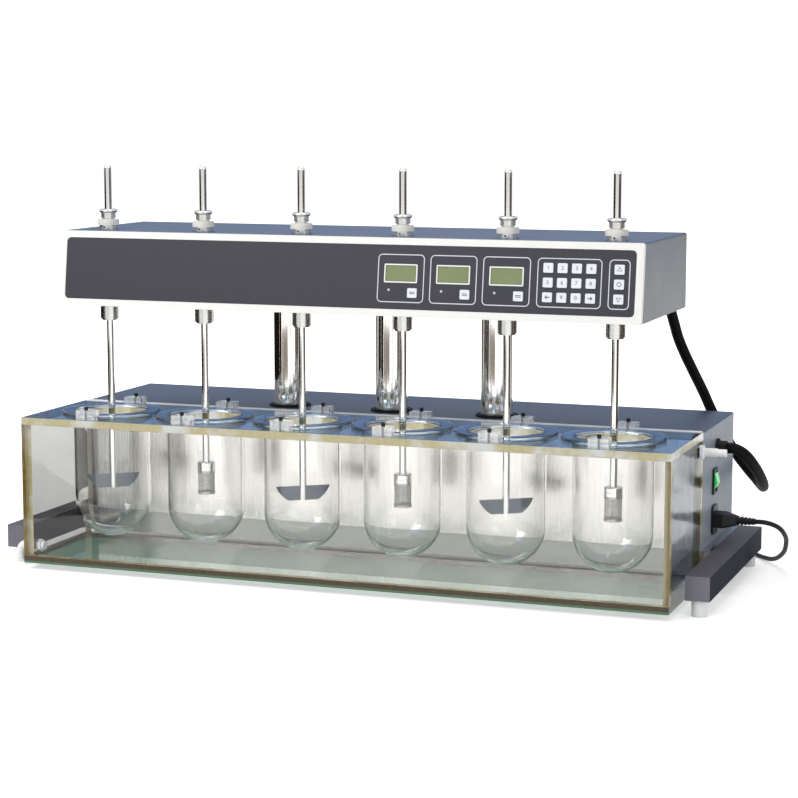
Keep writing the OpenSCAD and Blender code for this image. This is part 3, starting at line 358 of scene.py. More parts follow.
# %% Metals
def bare_metal(name, light, dark, grain, bump, rough_low, rough_high):
    """A metal with a directional grain: its size in millimetres along X, Y and Z."""
    material, tree = new_finish(name)
    place = add(tree, "TexCoord").outputs["Object"]
    squeezed = add(tree, "Mapping", {"Vector": place, "Scale": [1 / (g * MM) for g in grain]})
    lines = add(tree, "TexNoise", {"Vector": squeezed.outputs[0], "Scale": 1.0, "Detail": 4, "Roughness": 0.65})
    tone = add(tree, "Mix", {0: lines.outputs["Fac"], 6: colour(dark), 7: colour(light)}, data_type="RGBA")
    rough = add(tree, "MapRange", {"Value": lines.outputs["Fac"], "To Min": rough_low, "To Max": rough_high})
    relief = add(tree, "Bump", {"Height": lines.outputs["Fac"], "Strength": bump, "Distance": 0.1 * MM})
    shader = add(tree, "BsdfPrincipled", {"Base Color": tone.outputs[2], "Metallic": 1.0,
                                          "Roughness": rough.outputs[0], "Normal": relief.outputs[0]})
    add(tree, "OutputMaterial", {"Surface": shader.outputs[0]})
    return material


# Brushed: upright streaks of soft light. Grain of a 180 grit belt is 0.1 mm wide; it is drawn at 2.5 mm.
brushed_front = bare_metal("stainless_brushed_upright", "#fffdf7", "#f2eee3", (2.5, 2.5, 400), 0.06, 0.2, 0.32)
# Chromed: sharp dark and bright lines down the columns.
chrome = bare_metal("chrome_on_ground_steel", "#eceae6", "#dddad4", (2, 2, 60), 0.03, 0.04, 0.09)
# Ground and turned: bright rods and duller nuts. The marks are 0.2 mm apart; they are drawn at 0.8 mm.
shaft_steel = bare_metal("stainless_ground_rod", "#e4e3e0", "#cbcac6", (30, 30, 0.8), 0.012, 0.05, 0.1)
turned_steel = bare_metal("steel_turned_bright", "#dadad8", "#b4b4b2", (20, 20, 0.8), 0.2, 0.16, 0.32)
# Coated: a dark blue-grey sheen on the blades.
blade_steel = bare_metal("steel_blade_dark", "#4a5963", "#313d46", (6, 6, 6), 0.1, 0.3, 0.45)
# Rolled: a blurred mirror with lines along X.
platform_sheet = bare_metal("stainless_bright_rolled", "#c9c6c2", "#aba8a4", (60, 3, 3), 0.04, 0.12, 0.2)
# Plated and cast: dull greys, the cast one rough to the eye.
zinc_sheet = bare_metal("steel_zinc_plated", "#b3b5b8", "#94979b", (25, 25, 25), 0.05, 0.3, 0.5)
cast_metal = bare_metal("aluminium_die_cast", "#a9acae", "#8b8e91", (1.5, 1.5, 1.5), 0.4, 0.45, 0.6)
# Drawn wire: small glints between dark gaps.
basket_steel = bare_metal("stainless_drawn_wire", "#ccc8bf", "#77726a", (3, 3, 3), 0.1, 0.15, 0.35)
print("finishes with metals:", len(bpy.data.materials))

# %% [markdown]
# ## Plastics and rubber
# The bezel, feet, fittings, collars and keys are moulded or turned plastic. Moulds are spark-eroded, so the
# skin has a fine even grain and a soft gloss. It is a fraction of a millimetre and is drawn at 1.2 mm. Light
# goes a little way into white plastic, so a trace of subsurface keeps it from looking like chalk.

# %% Moulded plastics
def moulded(name, light, dark, rough, grain=1.2, bump=0.06, inside=0.0, mirror=0.5):
    """A moulded plastic or rubber between two close tones, with an even grain in millimetres."""
    material, tree = new_finish(name)
    place = add(tree, "TexCoord").outputs["Object"]
    cloud = add(tree, "TexNoise", {"Vector": place, "Scale": 1 / (25 * MM), "Detail": 3})
    skin = add(tree, "TexNoise", {"Vector": place, "Scale": 1 / (grain * MM)})
    tone = add(tree, "Mix", {0: cloud.outputs["Fac"], 6: colour(dark), 7: colour(light)}, data_type="RGBA")
    gloss = add(tree, "MapRange", {"Value": cloud.outputs["Fac"], "To Min": rough - 0.06, "To Max": rough + 0.08})
    relief = add(tree, "Bump", {"Height": skin.outputs["Fac"], "Strength": bump, "Distance": 0.1 * MM})
    shader = add(tree, "BsdfPrincipled", {"Base Color": tone.outputs[2], "Roughness": gloss.outputs[0],
                                          "IOR": 1.5, "Subsurface Weight": inside,
                                          "Subsurface Radius": (1.0, 0.8, 0.6), "Subsurface Scale": 1 * MM,
                                          "Specular IOR Level": mirror, "Normal": relief.outputs[0]})
    add(tree, "OutputMaterial", {"Surface": shader.outputs[0]})
    return material


# White: a clean warm bezel, feet and fittings that glow a little from inside, waxy cream collars, cool keys.
white_bezel = moulded("abs_white_painted", "#f5f4f1", "#eeedea", 0.38)
white_nylon = moulded("nylon_white_moulded", "#ffffff", "#f4f5f7", 0.35, inside=0.1)
cream_acetal = moulded("acetal_cream_turned", "#fdfbf2", "#f3efe2", 0.32, inside=0.1)
key_white = moulded("key_cap_white_moulded", "#eef1f9", "#e0e4ee", 0.36)
# Black: a soft gloss on mouldings, and none on rubber.
black_abs = moulded("abs_black_moulded", "#17171a", "#0f0f11", 0.4, mirror=0.25)
black_rubber = moulded("rubber_black_pressed", "#1b1b1d", "#111112", 0.62, grain=2, mirror=0.2)
belt_rubber = moulded("belt_neoprene", "#2b2b2d", "#1c1c1e", 0.7, grain=2)
# The board's mask is a smooth green lacquer.
board_green = moulded("circuit_board_masked", "#2f5a3c", "#234a30", 0.4, grain=3)
# The bead is smooth and lumpy, and the strap is matt and rough.
silicone = moulded("silicone_white_bead", "#f2f3f4", "#e2e5e8", 0.3, grain=4, bump=0.2)
strap_black = moulded("hook_strap_woven", "#26262a", "#18181b", 0.85, grain=0.9, bump=0.4)
print("finishes with plastics:", len(bpy.data.materials))

# %% [markdown]
# ## Clear acrylic
# The bath is glued from 10 mm cast acrylic. A thick clear sheet does three things: it lets light straight
# through its broad faces, it mirrors a little and more at a glancing angle, and it gathers light in its cut
# edges, which look yellow and olive. Full refraction in many parallel sheets is slow and noisy, so the broad
# faces are a see-through surface with a gloss that Fresnel mixes in, on the outer side of each face only. The
# edges are a shader of their own.

# %% Acrylic sheet
def acrylic(name, tint, shine=1.0, haze=0.09):
    """A broad face of a clear sheet: tinted see-through, with a glancing gloss and faint wiping marks."""
    material, tree = new_finish(name)
    place = add(tree, "TexCoord").outputs["Object"]
    wiped = add(tree, "TexNoise", {"Vector": place, "Scale": 1 / (45 * MM), "Detail": 5, "Roughness": 0.7})
    rough = add(tree, "MapRange", {"Value": wiped.outputs["Fac"], "From Min": 0.4, "From Max": 0.75,
                                   "To Min": haze * 0.3, "To Max": haze})
    outside = add(tree, "Math", {0: 1.0, 1: add(tree, "NewGeometry").outputs["Backfacing"]}, operation="SUBTRACT")
    mirror = add(tree, "Math", {0: add(tree, "Fresnel", {"IOR": 1.49}).outputs[0], 1: outside.outputs[0]},
                 operation="MULTIPLY")
    gloss = add(tree, "BsdfGlossy", {"Color": [shine] * 3 + [1], "Roughness": rough.outputs[0]})
    through = add(tree, "BsdfTransparent", {"Color": colour(tint)})
    mix = add(tree, "MixShader", {0: mirror.outputs[0], 1: through.outputs[0], 2: gloss.outputs[0]})
    add(tree, "OutputMaterial", {"Surface": mix.outputs[0]})
    return material


# Clear front and back; hazy ends with a painted grey for their look at a glancing angle; a floor that mirrors
# sharply; and a plate seen so flat that it mirrors the blue behind it, tinted blue as a painted reflection.
clear_sheet = acrylic("acrylic_cast_clear", "#fdfdfd")
# The ends are clear sheet too: their greys are painted, for how each end looks at a glancing angle.
end_sheet_painted_grey = acrylic("acrylic_clear_painted_grey", "#b7bcc4", 0.85, 0.32)
far_end_painted_grey = acrylic("acrylic_clear_painted_pale_grey", "#cccccb", 0.8, 0.3)
floor_sheet = acrylic("acrylic_cast_green", "#9fbcaf", 2.2, 0.02)
plate_sheet_painted_reflection = acrylic("acrylic_clear_painted_blue_reflection", "#b7c8e0")
print("sheets:", clear_sheet.name, end_sheet_painted_grey.name, far_end_painted_grey.name, floor_sheet.name, plate_sheet_painted_reflection.name)

# %% [markdown]
# ## Cut edges of the acrylic
# A sawn edge shows the light that the whole sheet has gathered, so it is darker and far more coloured than the
# broad face. Along a free edge the colour comes and goes in patches. Where an edge is glued to another sheet it
# changes at a line: the glued strip is clearer. Saw marks of about 0.5 mm are drawn at 6 mm.

# %% Acrylic edges
PATCH = (0.48, 0.62)


def cut_edge(name, bright, deep, clear, fade=None):
    """A sawn edge: gathered light that fades to a clearer tone, in patches or between two places in mm."""
    material, tree = new_finish(name)
    place = add(tree, "TexCoord").outputs["Object"]
    if fade:
        axis, first, last = fade[0], fade[1] * MM, fade[2] * MM
        spread = add(tree, "Math", {0: add(tree, "SeparateXYZ", {0: place}).outputs[axis]}, operation="ABSOLUTE")
    else:
        first, last = PATCH
        spread = add(tree, "TexNoise", {"Vector": place, "Scale": 1 / (55 * MM), "Detail": 3, "Roughness": 0.6})
    saw = add(tree, "TexNoise", {"Vector": place, "Scale": 1 / (6 * MM), "Detail": 2})
    glow = add(tree, "Mix", {0: saw.outputs["Fac"], 6: colour(deep), 7: colour(bright)}, data_type="RGBA")
    open_part = add(tree, "MapRange", {"Value": spread.outputs[0], "From Min": first, "From Max": last})
    tone = add(tree, "Mix", {0: open_part.outputs[0], 6: glow.outputs[2], 7: colour(clear)}, data_type="RGBA")
    relief = add(tree, "Bump", {"Height": saw.outputs["Fac"], "Strength": 0.15, "Distance": 0.3 * MM})
    shader = add(tree, "BsdfPrincipled", {"Base Color": tone.outputs[2], "Roughness": 0.18, "IOR": 1.49,
                                          "Normal": relief.outputs[0]})
    add(tree, "OutputMaterial", {"Surface": shader.outputs[0]})
    return material


# Yellow on the rims, half yellow on the glued end, brown over green on the floor, straw on the plate.
sheet_edge = cut_edge("acrylic_edge_yellow", "#ab9038", "#6b5820", "#b3ab7c")
glued_edge = cut_edge("acrylic_edge_glued", "#a88f36", "#3d3212", "#a89f80", ("X", 456, 453))
floor_edge = cut_edge("acrylic_edge_olive", "#54432a", "#2c2213", "#4d7050", ("Z", 13, 11.5))
plate_edge = cut_edge("acrylic_edge_straw", "#c5bc94", "#a99f78", "#cdcfca")
print("edges:", sheet_edge.name, glued_edge.name, floor_edge.name, plate_edge.name)

# %% [markdown]
# ## Blown glass and milled clamps
# The vessels are borosilicate glass, blown in a mould, with a wall of 2.5 mm. Here the bending of light is the
# look: the round bottom gathers bright and dark rims. So the vessels get true refraction, with a slight
# waviness of the wall. Their flange is thick and ground, so it is less clear, and its blue tint is a painted
# reflection of the blue that the plate under it shows. The clamps are milled from acrylic, and the cutter
# leaves them frosted. Shadow rays pass straight through, or all this would throw a black shadow.

# %% Glass
def bending(name, ior, rough, waves, depth, clear=1.0, tint="#ffffff", mirror=0.5):
    """A clear solid that bends light: the size and depth of its waves in millimetres, and how clear it is."""
    material, tree = new_finish(name)
    place = add(tree, "TexCoord").outputs["Object"]
    wave = add(tree, "TexNoise", {"Vector": place, "Scale": 1 / (waves * MM), "Detail": 1})
    relief = add(tree, "Bump", {"Height": wave.outputs["Fac"], "Strength": 0.12, "Distance": depth * MM})
    bent = add(tree, "BsdfPrincipled", {"Base Color": colour(tint), "Roughness": rough, "IOR": ior,
                                        "Transmission Weight": clear, "Specular IOR Level": mirror,
                                        "Normal": relief.outputs[0]})
    passed = add(tree, "BsdfTransparent", {"Color": colour("#fafbfb")})
    mix = add(tree, "MixShader", {0: add(tree, "LightPath").outputs["Is Shadow Ray"], 1: bent.outputs[0],
                                  2: passed.outputs[0]})
    add(tree, "OutputMaterial", {"Surface": mix.outputs[0]})
    return material


# Clear walls with thin dark outlines, a rim on each vessel with a painted blue reflection, and milky clamps.
vessel_glass = bending("borosilicate_blown", 1.47, 0.0, 35, 1, mirror=0.3)
rim_glass_painted_blue = bending("borosilicate_ground_rim_painted_blue", 1.47, 0.03, 35, 1, tint="#b9d0e6")
clamp_clear = bending("acrylic_milled_clear", 1.49, 0.17, 4, 0.5, 0.76)
print("bending finishes:", vessel_glass.name, rim_glass_painted_blue.name, clamp_clear.name)

# %% [markdown]
# ## Panel film and displays
# The panel is a dark polyester film, printed from behind and slightly satin, with faint upright streaks. The
# displays are reflective liquid crystal: an olive green with a very faint dot grid, drawn at 1 mm.

# %% Panel finishes
# Film: an even dark grey that hardly shines.
panel_film, tree = new_finish("polyester_film_dark")
place = add(tree, "TexCoord").outputs["Object"]
squeezed = add(tree, "Mapping", {"Vector": place, "Scale": (1 / (3 * MM), 1 / (90 * MM), 1 / (90 * MM))})
streak = add(tree, "TexNoise", {"Vector": squeezed.outputs[0], "Scale": 1.0, "Detail": 3})
tone = add(tree, "Mix", {0: streak.outputs["Fac"], 6: colour("#24252e"), 7: colour("#2e2f39")}, data_type="RGBA")
rough = add(tree, "MapRange", {"Value": streak.outputs["Fac"], "To Min": 0.38, "To Max": 0.5})
shader = add(tree, "BsdfPrincipled", {"Base Color": tone.outputs[2], "Roughness": rough.outputs[0],
                                      "IOR": 1.57, "Specular IOR Level": 0.36})
add(tree, "OutputMaterial", {"Surface": shader.outputs[0]})

# Display: flat olive behind a clear gloss.
display_green, tree = new_finish("liquid_crystal_green")
place = add(tree, "TexCoord").outputs["Object"]
dots = add(tree, "TexVoronoi", {"Vector": place, "Scale": 1 / (1 * MM), "Randomness": 0.0})
cloud = add(tree, "TexNoise", {"Vector": place, "Scale": 1 / (30 * MM)})
tone = add(tree, "Mix", {0: cloud.outputs["Fac"], 6: colour("#76815a"), 7: colour("#879268")}, data_type="RGBA")
grid = add(tree, "MapRange", {"Value": dots.outputs["Distance"], "To Min": 0.2, "To Max": 0.28})
shader = add(tree, "BsdfPrincipled", {"Base Color": tone.outputs[2], "Roughness": grid.outputs[0], "IOR": 1.5})
add(tree, "OutputMaterial", {"Surface": shader.outputs[0]})
print("panel finishes:", panel_film.name, display_green.name)

# %% [markdown]
# ## Inks, lens and rocker
# The inks are screen printed, so they are flat and a little matt. The screen's mesh of about 0.1 mm leaves a
# slight unevenness, drawn at 2 mm. The lamps' lenses are polished mouldings. The rocker is a translucent green
# cap with a lamp behind it, so part of its light is its own.

# %% Inks and lit pieces
def ink(name, light, dark):
    """A screen-printed ink with the slight unevenness of its mesh."""
    material, tree = new_finish(name)
    place = add(tree, "TexCoord").outputs["Object"]
    screen = add(tree, "TexNoise", {"Vector": place, "Scale": 1 / (2 * MM), "Detail": 2})
    tone = add(tree, "Mix", {0: screen.outputs["Fac"], 6: colour(dark), 7: colour(light)}, data_type="RGBA")
    shader = add(tree, "BsdfPrincipled", {"Base Color": tone.outputs[2], "Roughness": 0.55, "IOR": 1.5})
    add(tree, "OutputMaterial", {"Surface": shader.outputs[0]})
    return material


# Pale lines that stand back, white frames that stand out, and slate signs on white keys.
pale_ink = ink("ink_pale_grey_printed", "#e4e5ea", "#d6d7de")
white_ink = ink("ink_white_printed", "#fafaf8", "#f0f0ee")
slate_ink = ink("ink_slate_printed", "#5d6070", "#4d505e")
# A lens shows one small bright spot.
lens_pale = moulded("lamp_lens_pale", "#d8d9da", "#c6c8ca", 0.2)

# Lit polycarbonate: a green that stays bright in the shade.
rocker_green, tree = new_finish("rocker_polycarbonate_lit")
place = add(tree, "TexCoord").outputs["Object"]
warm = add(tree, "TexNoise", {"Vector": place, "Scale": 1 / (9 * MM)})
tone = add(tree, "Mix", {0: warm.outputs["Fac"], 6: colour("#138f3c"), 7: colour("#35c962")}, data_type="RGBA")
shader = add(tree, "BsdfPrincipled", {"Base Color": tone.outputs[2], "Roughness": 0.22, "IOR": 1.58,
                                      "Emission Color": colour("#2fd06a"), "Emission Strength": 0.35})
add(tree, "OutputMaterial", {"Surface": shader.outputs[0]})
print("finishes in all:", len(bpy.data.materials))

# %% [markdown]
# ## Finishes on the solids
# Each solid is one mesh, but some carry two finishes, such as a clear sheet and its cut edges. The helper below
# looks at every face's middle and direction and picks a finish for it. Splitting the mesh would work too, but
# the solids stay as they are.

# %% Helpers that dress a solid
def dress(names, finishes, choose=None):
    """Gives solids their finishes; choose(middle in mm, normal) tells which of them a face takes."""
    for name in names if isinstance(names, (list, tuple)) else [names]:
        mesh = NODES[name].data
        mesh.materials.clear()
        for finish in finishes:
            mesh.materials.append(finish)
        for face in mesh.polygons:
            face.material_index = choose(face.center / MM, face.normal) if choose else 0


PITCH, LINE_Y = 146, -109
STATIONS = [(k - 2.5) * PITCH for k in range(6)]
PADDLES, BASKETS = (1, 3, 5), (2, 4, 6)
# A face looks along an axis if that part of its normal is larger than this.
FACING = 0.7


def off_axis(p):
    """How far a point stands from the nearest station's axis."""
    return min(math.hypot(p.x - x, p.y - LINE_Y) for x in STATIONS)


print("stations at", STATIONS)

# %% [markdown]
# ## Frame, bath and cabinet
# The base frame is rails and a platform in one mesh, and the bath is five sheets in one. Places and radii in
# millimetres tell a face's part, and its direction tells a broad face from an edge.

# %% Dress the lower part
RAIL_INSIDE = 473.95
PADS_END = 420
FLOOR_TOP = 19.05
END_SHEET_X, END_SHEET_Y = 450.5, (-186.95, -17.05)
FLANGE_Z, FLANGE_R = 215.04, 52
CLAMP_TOP, SCREW_OFF, SCREW_R = 228.15, 75.5, 2.1
GASKET_X, NOZZLE_Y, NOZZLE_R = (461.05, 462.75), -29, 7
# A face is part of a top if its normal rises by more than this.
UPWARD = 0.5


def frame_finish(p, n):
    """Which finish a face of the frame takes: platform, rail's end, rail's side with painted shade, or rail's top.
    """
    if abs(p.x) < RAIL_INSIDE:
        return 2
    return 1 if abs(n.y) > FACING else 3 if abs(n.x) > FACING else 0


def bath_finish(p, n):
    """Which finish a face of the bath takes: floor sheet, end sheet or long sheet, broad face or cut edge."""
    if p.z < FLOOR_TOP:
        return 3 if abs(n.z) > FACING else 4
    if END_SHEET_Y[0] < p.y < END_SHEET_Y[1] and abs(p.x) > END_SHEET_X:
        if abs(n.y) > FACING:
            return 6 if p.x > 0 else 7
        return 1 if abs(n.x) < FACING else 2 if p.x > 0 else 5
    return 0 if abs(n.y) > FACING else 1


def clamp_finish(p, n):
    """Which finish a face of the clamps takes: clear block or dark screw."""
    off_screw = min(math.hypot(p.x - x, abs(p.y - LINE_Y) - SCREW_OFF) for x in STATIONS)
    return 1 if p.z > CLAMP_TOP or off_screw < SCREW_R else 0


dress("base_frame", [dark_rail, rail_cap, platform_sheet, rail_side_painted_shade], frame_finish)
dress("feet", [white_nylon, clear_sheet], lambda p, n: 1 if abs(p.x) < PADS_END else 0)
dress("bath_tank", [clear_sheet, sheet_edge, end_sheet_painted_grey, floor_sheet, floor_edge, far_end_painted_grey, glued_edge, plate_edge],
      bath_finish)
dress("vessel_plate", [plate_sheet_painted_reflection, plate_edge], lambda p, n: 0 if abs(n.z) > FACING else 1)
dress("vessels", [vessel_glass, rim_glass_painted_blue], lambda p, n: 1 if p.z > FLANGE_Z and off_axis(p) > FLANGE_R else 0)
dress("vessel_clamps", [clamp_clear, black_abs], clamp_finish)
dress("bath_fittings", [white_nylon, black_rubber],
      lambda p, n: 1 if GASKET_X[0] < p.x < GASKET_X[1] and abs(p.y - NOZZLE_Y) > NOZZLE_R else 0)
dress("cabinet_cover", [pale_end, blue_shelf], lambda p, n: 1 if n.z > UPWARD else 0)
dress("cabinet_front", [brushed_front])
dress("lift_columns", [chrome])
dress("rubber_seals", [black_rubber])
print("dressed so far:", sum(1 for o in NODES.values() if o.data.materials))

# %% [markdown]
# ## Head, drive and leads
# A spindle is one mesh with its cream collar and the black set screw in its hub, and a paddle's shaft one mesh
# with its blade. The works inside the cases are dressed too, because a case can be opened later.

# %% Dress the upper part
HEAD_BACK = 87.1
COLLAR_Z, BORE_R = (480.05, 487.7), 5.2
SET_SCREW_Z, SET_SCREW_R = 477, 1.4
HUB_FRONT, HUB_R = 8, 12.3
BLADE_TOP, ROD_R = 127.8, 5.3
PLUG_LONG = 54.05
PLUG_FACE = COIL_X + TAIL + PLUG_LONG


def spindle_finish(p, n):
    """Which finish a face of a spindle takes: steel, cream collar, or the black set screw in the hub's hole."""
    if COLLAR_Z[0] < p.z < COLLAR_Z[1] and off_axis(p) > BORE_R:
        return 1
    in_hole = min(math.hypot(p.x - x, p.z - SET_SCREW_Z) for x in STATIONS) < SET_SCREW_R
    return 2 if in_hole and p.y < LINE_Y - HUB_FRONT and off_axis(p) < HUB_R else 0


dress("head_cover", [grey_end, blue_top], lambda p, n: 1 if n.z > UPWARD else 0)
dress("head_chassis", [grey_end, black_abs], lambda p, n: 1 if p.y > HEAD_BACK else 0)
dress("front_bezel", [white_bezel])
dress("control_panel", [panel_film])
dress(["spindle_%d" % k for k in range(1, 7)], [turned_steel, cream_acetal, black_abs], spindle_finish)
dress(["paddle_shaft_%d" % k for k in PADDLES], [shaft_steel, blade_steel],
      lambda p, n: 1 if p.z < BLADE_TOP and off_axis(p) > ROD_R else 0)
dress(["basket_shaft_%d" % k for k in BASKETS], [shaft_steel])
dress(["switch_bezel", "power_inlet", "cord_connector"], [black_abs])
dress("mains_plug", [black_abs, turned_steel], lambda p, n: 1 if p.x > PLUG_FACE else 0)
dress("rocker_switch", [rocker_green])
dress(["select_key_%d" % k for k in (1, 2, 3)] + ["keypad_key_%d" % k for k in range(1, 13)]
      + ["lift_key_up", "lift_key_stop", "lift_key_down"], [key_white])
dress("drive_belt", [belt_rubber])
dress(["lift_unit", "motor_pulley"], [zinc_sheet])
dress(["circulation_pump", "bearing_housings", "drive_motor"], [cast_metal])
dress(["power_cord", "cord_coil", "conduit"], [pvc_jacket])
print("dressed:", sum(1 for o in NODES.values() if o.data.materials))

# %% [markdown]
# ## The sloping front
# The control panel leans back, so everything printed on it is placed in the panel's own plane: x along the
# head, s up the slope and out square to it, in millimetres. One matrix turns those into the frame. The display
# board behind it shows its three displays through windows: their faces are the ones nearest the panel.

# %% The panel's plane
SLOPE_BACK, SLOPE_UP = 14, 102
LEAN = math.atan2(SLOPE_BACK, SLOPE_UP)
FRONT_FOOT = (0, -0.170, 0.372)
FRONT = Matrix.Translation(FRONT_FOOT) @ Matrix.Rotation(math.pi / 2 - LEAN, 4, "X")
TO_FRONT = FRONT.inverted()
DISPLAY_OUT = -1.6


def on_front(x, s, out):
    """A point in metres from a place on the sloping front in millimetres."""
    return FRONT @ Vector((x * MM, s * MM, out * MM))


def out_of_front(p):
    """How far a point in millimetres stands out of the sloping front."""
    return (TO_FRONT @ (p * MM)).z / MM


dress("display_board", [board_green, display_green], lambda p, n: 1 if out_of_front(p) > DISPLAY_OUT else 0)
print("panel leans", round(math.degrees(LEAN), 2), "degrees")

# %% [markdown]
# ## Print on the panel
# Pale lines with round corners gather each display with its key, the keypad, and the lift keys. Each display
# has a white frame. The real print is a few hundredths of a millimetre thick, so it is drawn as flat bands
# just over the film. A texture could do it, but bands stay sharp at any size.

# %% Panel print
def rounded_loop(x, s, w, h, r, out, steps=6):
    """Points round a rectangle with round corners on the sloping front."""
    loop = []
    for k, (sx, sy) in enumerate(((1, 1), (-1, 1), (-1, -1), (1, -1))):
        for j in range(steps + 1):
            a = math.pi / 2 * (k + j / steps)
            loop.append(on_front(x + sx * (w / 2 - r) + r * math.cos(a),
                                 s + sy * (h / 2 - r) + r * math.sin(a), out))
    return loop


def frames(name, finish, rows, width, out):
    """Closed printed lines: each row gives the middle, the outer width and height and the corner's radius."""
    points, faces = [], []
    for x, s, w, h, r in rows:
        outer = rounded_loop(x, s, w, h, r, out)
        inner = rounded_loop(x, s, w - 2 * width, h - 2 * width, max(r - width, 0.2), out)
        faces += band(len(points), len(points) + len(outer), len(outer))
        points += outer + inner
    return piece(name, "head", finish, points, [f[::-1] for f in faces])


GROUPS = [(57.2, 121.7), (129.7, 193.7), (201.7, 265.7), (274.7, 359.7), (368.7, 396.2)]
GROUP_S, GROUP_H, GROUP_R = 49.95, 63.3, 6
GROUP_LINE, GROUP_OUT = 1.2, -0.54
DISPLAYS = (89.2, 161.4, 233.6)
DISPLAY_S, DISPLAY_W, DISPLAY_H, DISPLAY_R = 56.5, 46, 24.6, 1.5
DISPLAY_LINE, DISPLAY_LINE_OUT = 1.7, -0.53
frames("panel_group_lines", pale_ink, [((a + b) / 2, GROUP_S, b - a, GROUP_H, GROUP_R) for a, b in GROUPS],
       GROUP_LINE, GROUP_OUT)
frames("panel_display_frames", white_ink,
       [(x, DISPLAY_S, DISPLAY_W, DISPLAY_H, DISPLAY_R) for x in DISPLAYS], DISPLAY_LINE, DISPLAY_LINE_OUT)
print("printed groups:", len(GROUPS), "displays:", len(DISPLAYS))

# %% [markdown]
# ## Lamps on the panel
# A small round lens sits under each display. A lens is a low dome, so it is turned from a profile: rings of
# points that close at the top.

# %% Panel lamps
LAMPS, LAMP_S, LAMP_SIDES = (73.3, 146.0, 218.4), 34.5, 20
DOME = [(1.7, -0.58), (1.7, -0.3), (1.5, 0.0), (1.1, 0.25), (0.6, 0.4), (0.05, 0.45)]
for k, x in enumerate(LAMPS):
    points, faces = turned(DOME, LAMP_SIDES, lambda u, v, z: on_front(x + u, LAMP_S + v, z))
    faces.append(tuple(range(len(points) - LAMP_SIDES, len(points))))
    piece("panel_lamp_%d" % (k + 1), "head", lens_pale, points, faces, rounded=True)
print("panel lamps:", len(LAMPS))

# %% [markdown]
# ## Places of the keys and helpers for their signs
# The keypad has plain digits, and the lift keys an arrowhead, a ring and an arrowhead. Each sign moves with
# its key, so it is its own small mesh that rides on the key's body. Blender's text gives the digits; turned
# into a mesh they need no font file later.

# %% Key places and sign helpers
KEY_PITCH, TOP_ROW = 18.85, 68.9
KEYPAD_X, LIFT_X = 289.2, 382.5
SELECT_X, SELECT_PITCH, SELECT_S = 106.2, 72.2, 31.2
KEYS = {}
for k in range(3):
    KEYS["select_key_%d" % (k + 1)] = (SELECT_X + SELECT_PITCH * k, SELECT_S)
for k in range(12):
    KEYS["keypad_key_%d" % (k + 1)] = (KEYPAD_X + KEY_PITCH * (k % 4), TOP_ROW - KEY_PITCH * (k // 4))
for k, name in enumerate(("lift_key_up", "lift_key_stop", "lift_key_down")):
    KEYS[name] = (LIFT_X, TOP_ROW - KEY_PITCH * k)
BODY_OF = {node: body for body, nodes in frame["record"]["behaviour"]["bodies"].items() for node in nodes}
KEY_TOP, DIGIT_H = 0.86, 7.0


def key_sign(key, points, faces):
    """A flat sign on a key's top, from points about the key's middle in millimetres."""
    x, s = KEYS[key]
    body = BODY_OF[key]
    return piece("sign_" + body, body, slate_ink, [on_front(x + u, s + v, KEY_TOP) for u, v in points], faces)


def digit(text):
    """Points and faces of a digit about its middle."""
    curve = bpy.data.curves.new("digit", "FONT")
    curve.body, curve.size, curve.align_x, curve.align_y = text, DIGIT_H, "CENTER", "CENTER"
    curve.resolution_u = 4
    holder = bpy.data.objects.new("digit", curve)
    mesh = bpy.data.meshes.new_from_object(holder)
    points = [(v.co.x, v.co.y) for v in mesh.vertices]
    faces = [tuple(f.vertices) for f in mesh.polygons]
    bpy.data.objects.remove(holder)
    bpy.data.curves.remove(curve)
    bpy.data.meshes.remove(mesh)
    return points, faces


def outline(sides, r, turn, width):
    """A closed line of a given width round a regular figure."""
    corners = [(r * math.cos(turn + 2 * math.pi * k / sides), r * math.sin(turn + 2 * math.pi * k / sides))
               for k in range(sides)]
    reach = math.hypot(*corners[0])
    inner = [(u * (1 - width / reach), v * (1 - width / reach)) for u, v in corners]
    return corners + inner, band(0, sides, sides)


print("keys:", len(KEYS))

# %% [markdown]
# ## Signs on the keys
# Digits go on ten of the keypad's keys and arrows on the two that are left. The select keys have two short
# bars. All are thin shapes just over the key's top.

# %% Key signs
for k, sign in enumerate("12345678 90 "):
    if sign != " ":
        key_sign("keypad_key_%d" % (k + 1), *digit(sign))
for name, sides, r, turn, width in (("lift_key_up", 3, 4.0, math.pi / 2, 1.3), ("lift_key_stop", 24, 3.1, 0, 0.9),
                                    ("lift_key_down", 3, 4.0, -math.pi / 2, 1.3)):
    key_sign(name, *outline(sides, r, turn, width))
BARS = [(-3.6, 0.5), (3.6, 0.5), (3.6, 1.5), (-3.6, 1.5), (-3.6, -1.5), (3.6, -1.5), (3.6, -0.5), (-3.6, -0.5)]
for name in ("select_key_1", "select_key_2", "select_key_3"):
    key_sign(name, BARS, [(0, 1, 2, 3), (4, 5, 6, 7)])
ARROW = [(-3.4, 0.0), (-0.4, 2.8), (-0.4, 0.6), (3.4, 0.6), (3.4, -0.6), (-0.4, -0.6), (-0.4, -2.8)]
for name, way in (("keypad_key_9", 1), ("keypad_key_12", -1)):
    key_sign(name, [(way * u, way * v) for u, v in ARROW], [(0, 6, 5, 4, 3, 2, 1)])

# %% [markdown]
# ## Wire cloth
# Stations 2, 4 and 6 turn a basket: a rod with a vented cap, and under it a cylinder of woven wire cloth
# between two rims. The cloth is woven from wires that pass over and under each other. An image with holes
# would be lighter, but it would look flat from near by. Real cloth has 16 wires to a centimetre; here it has
# about 7, so that the weave shows.

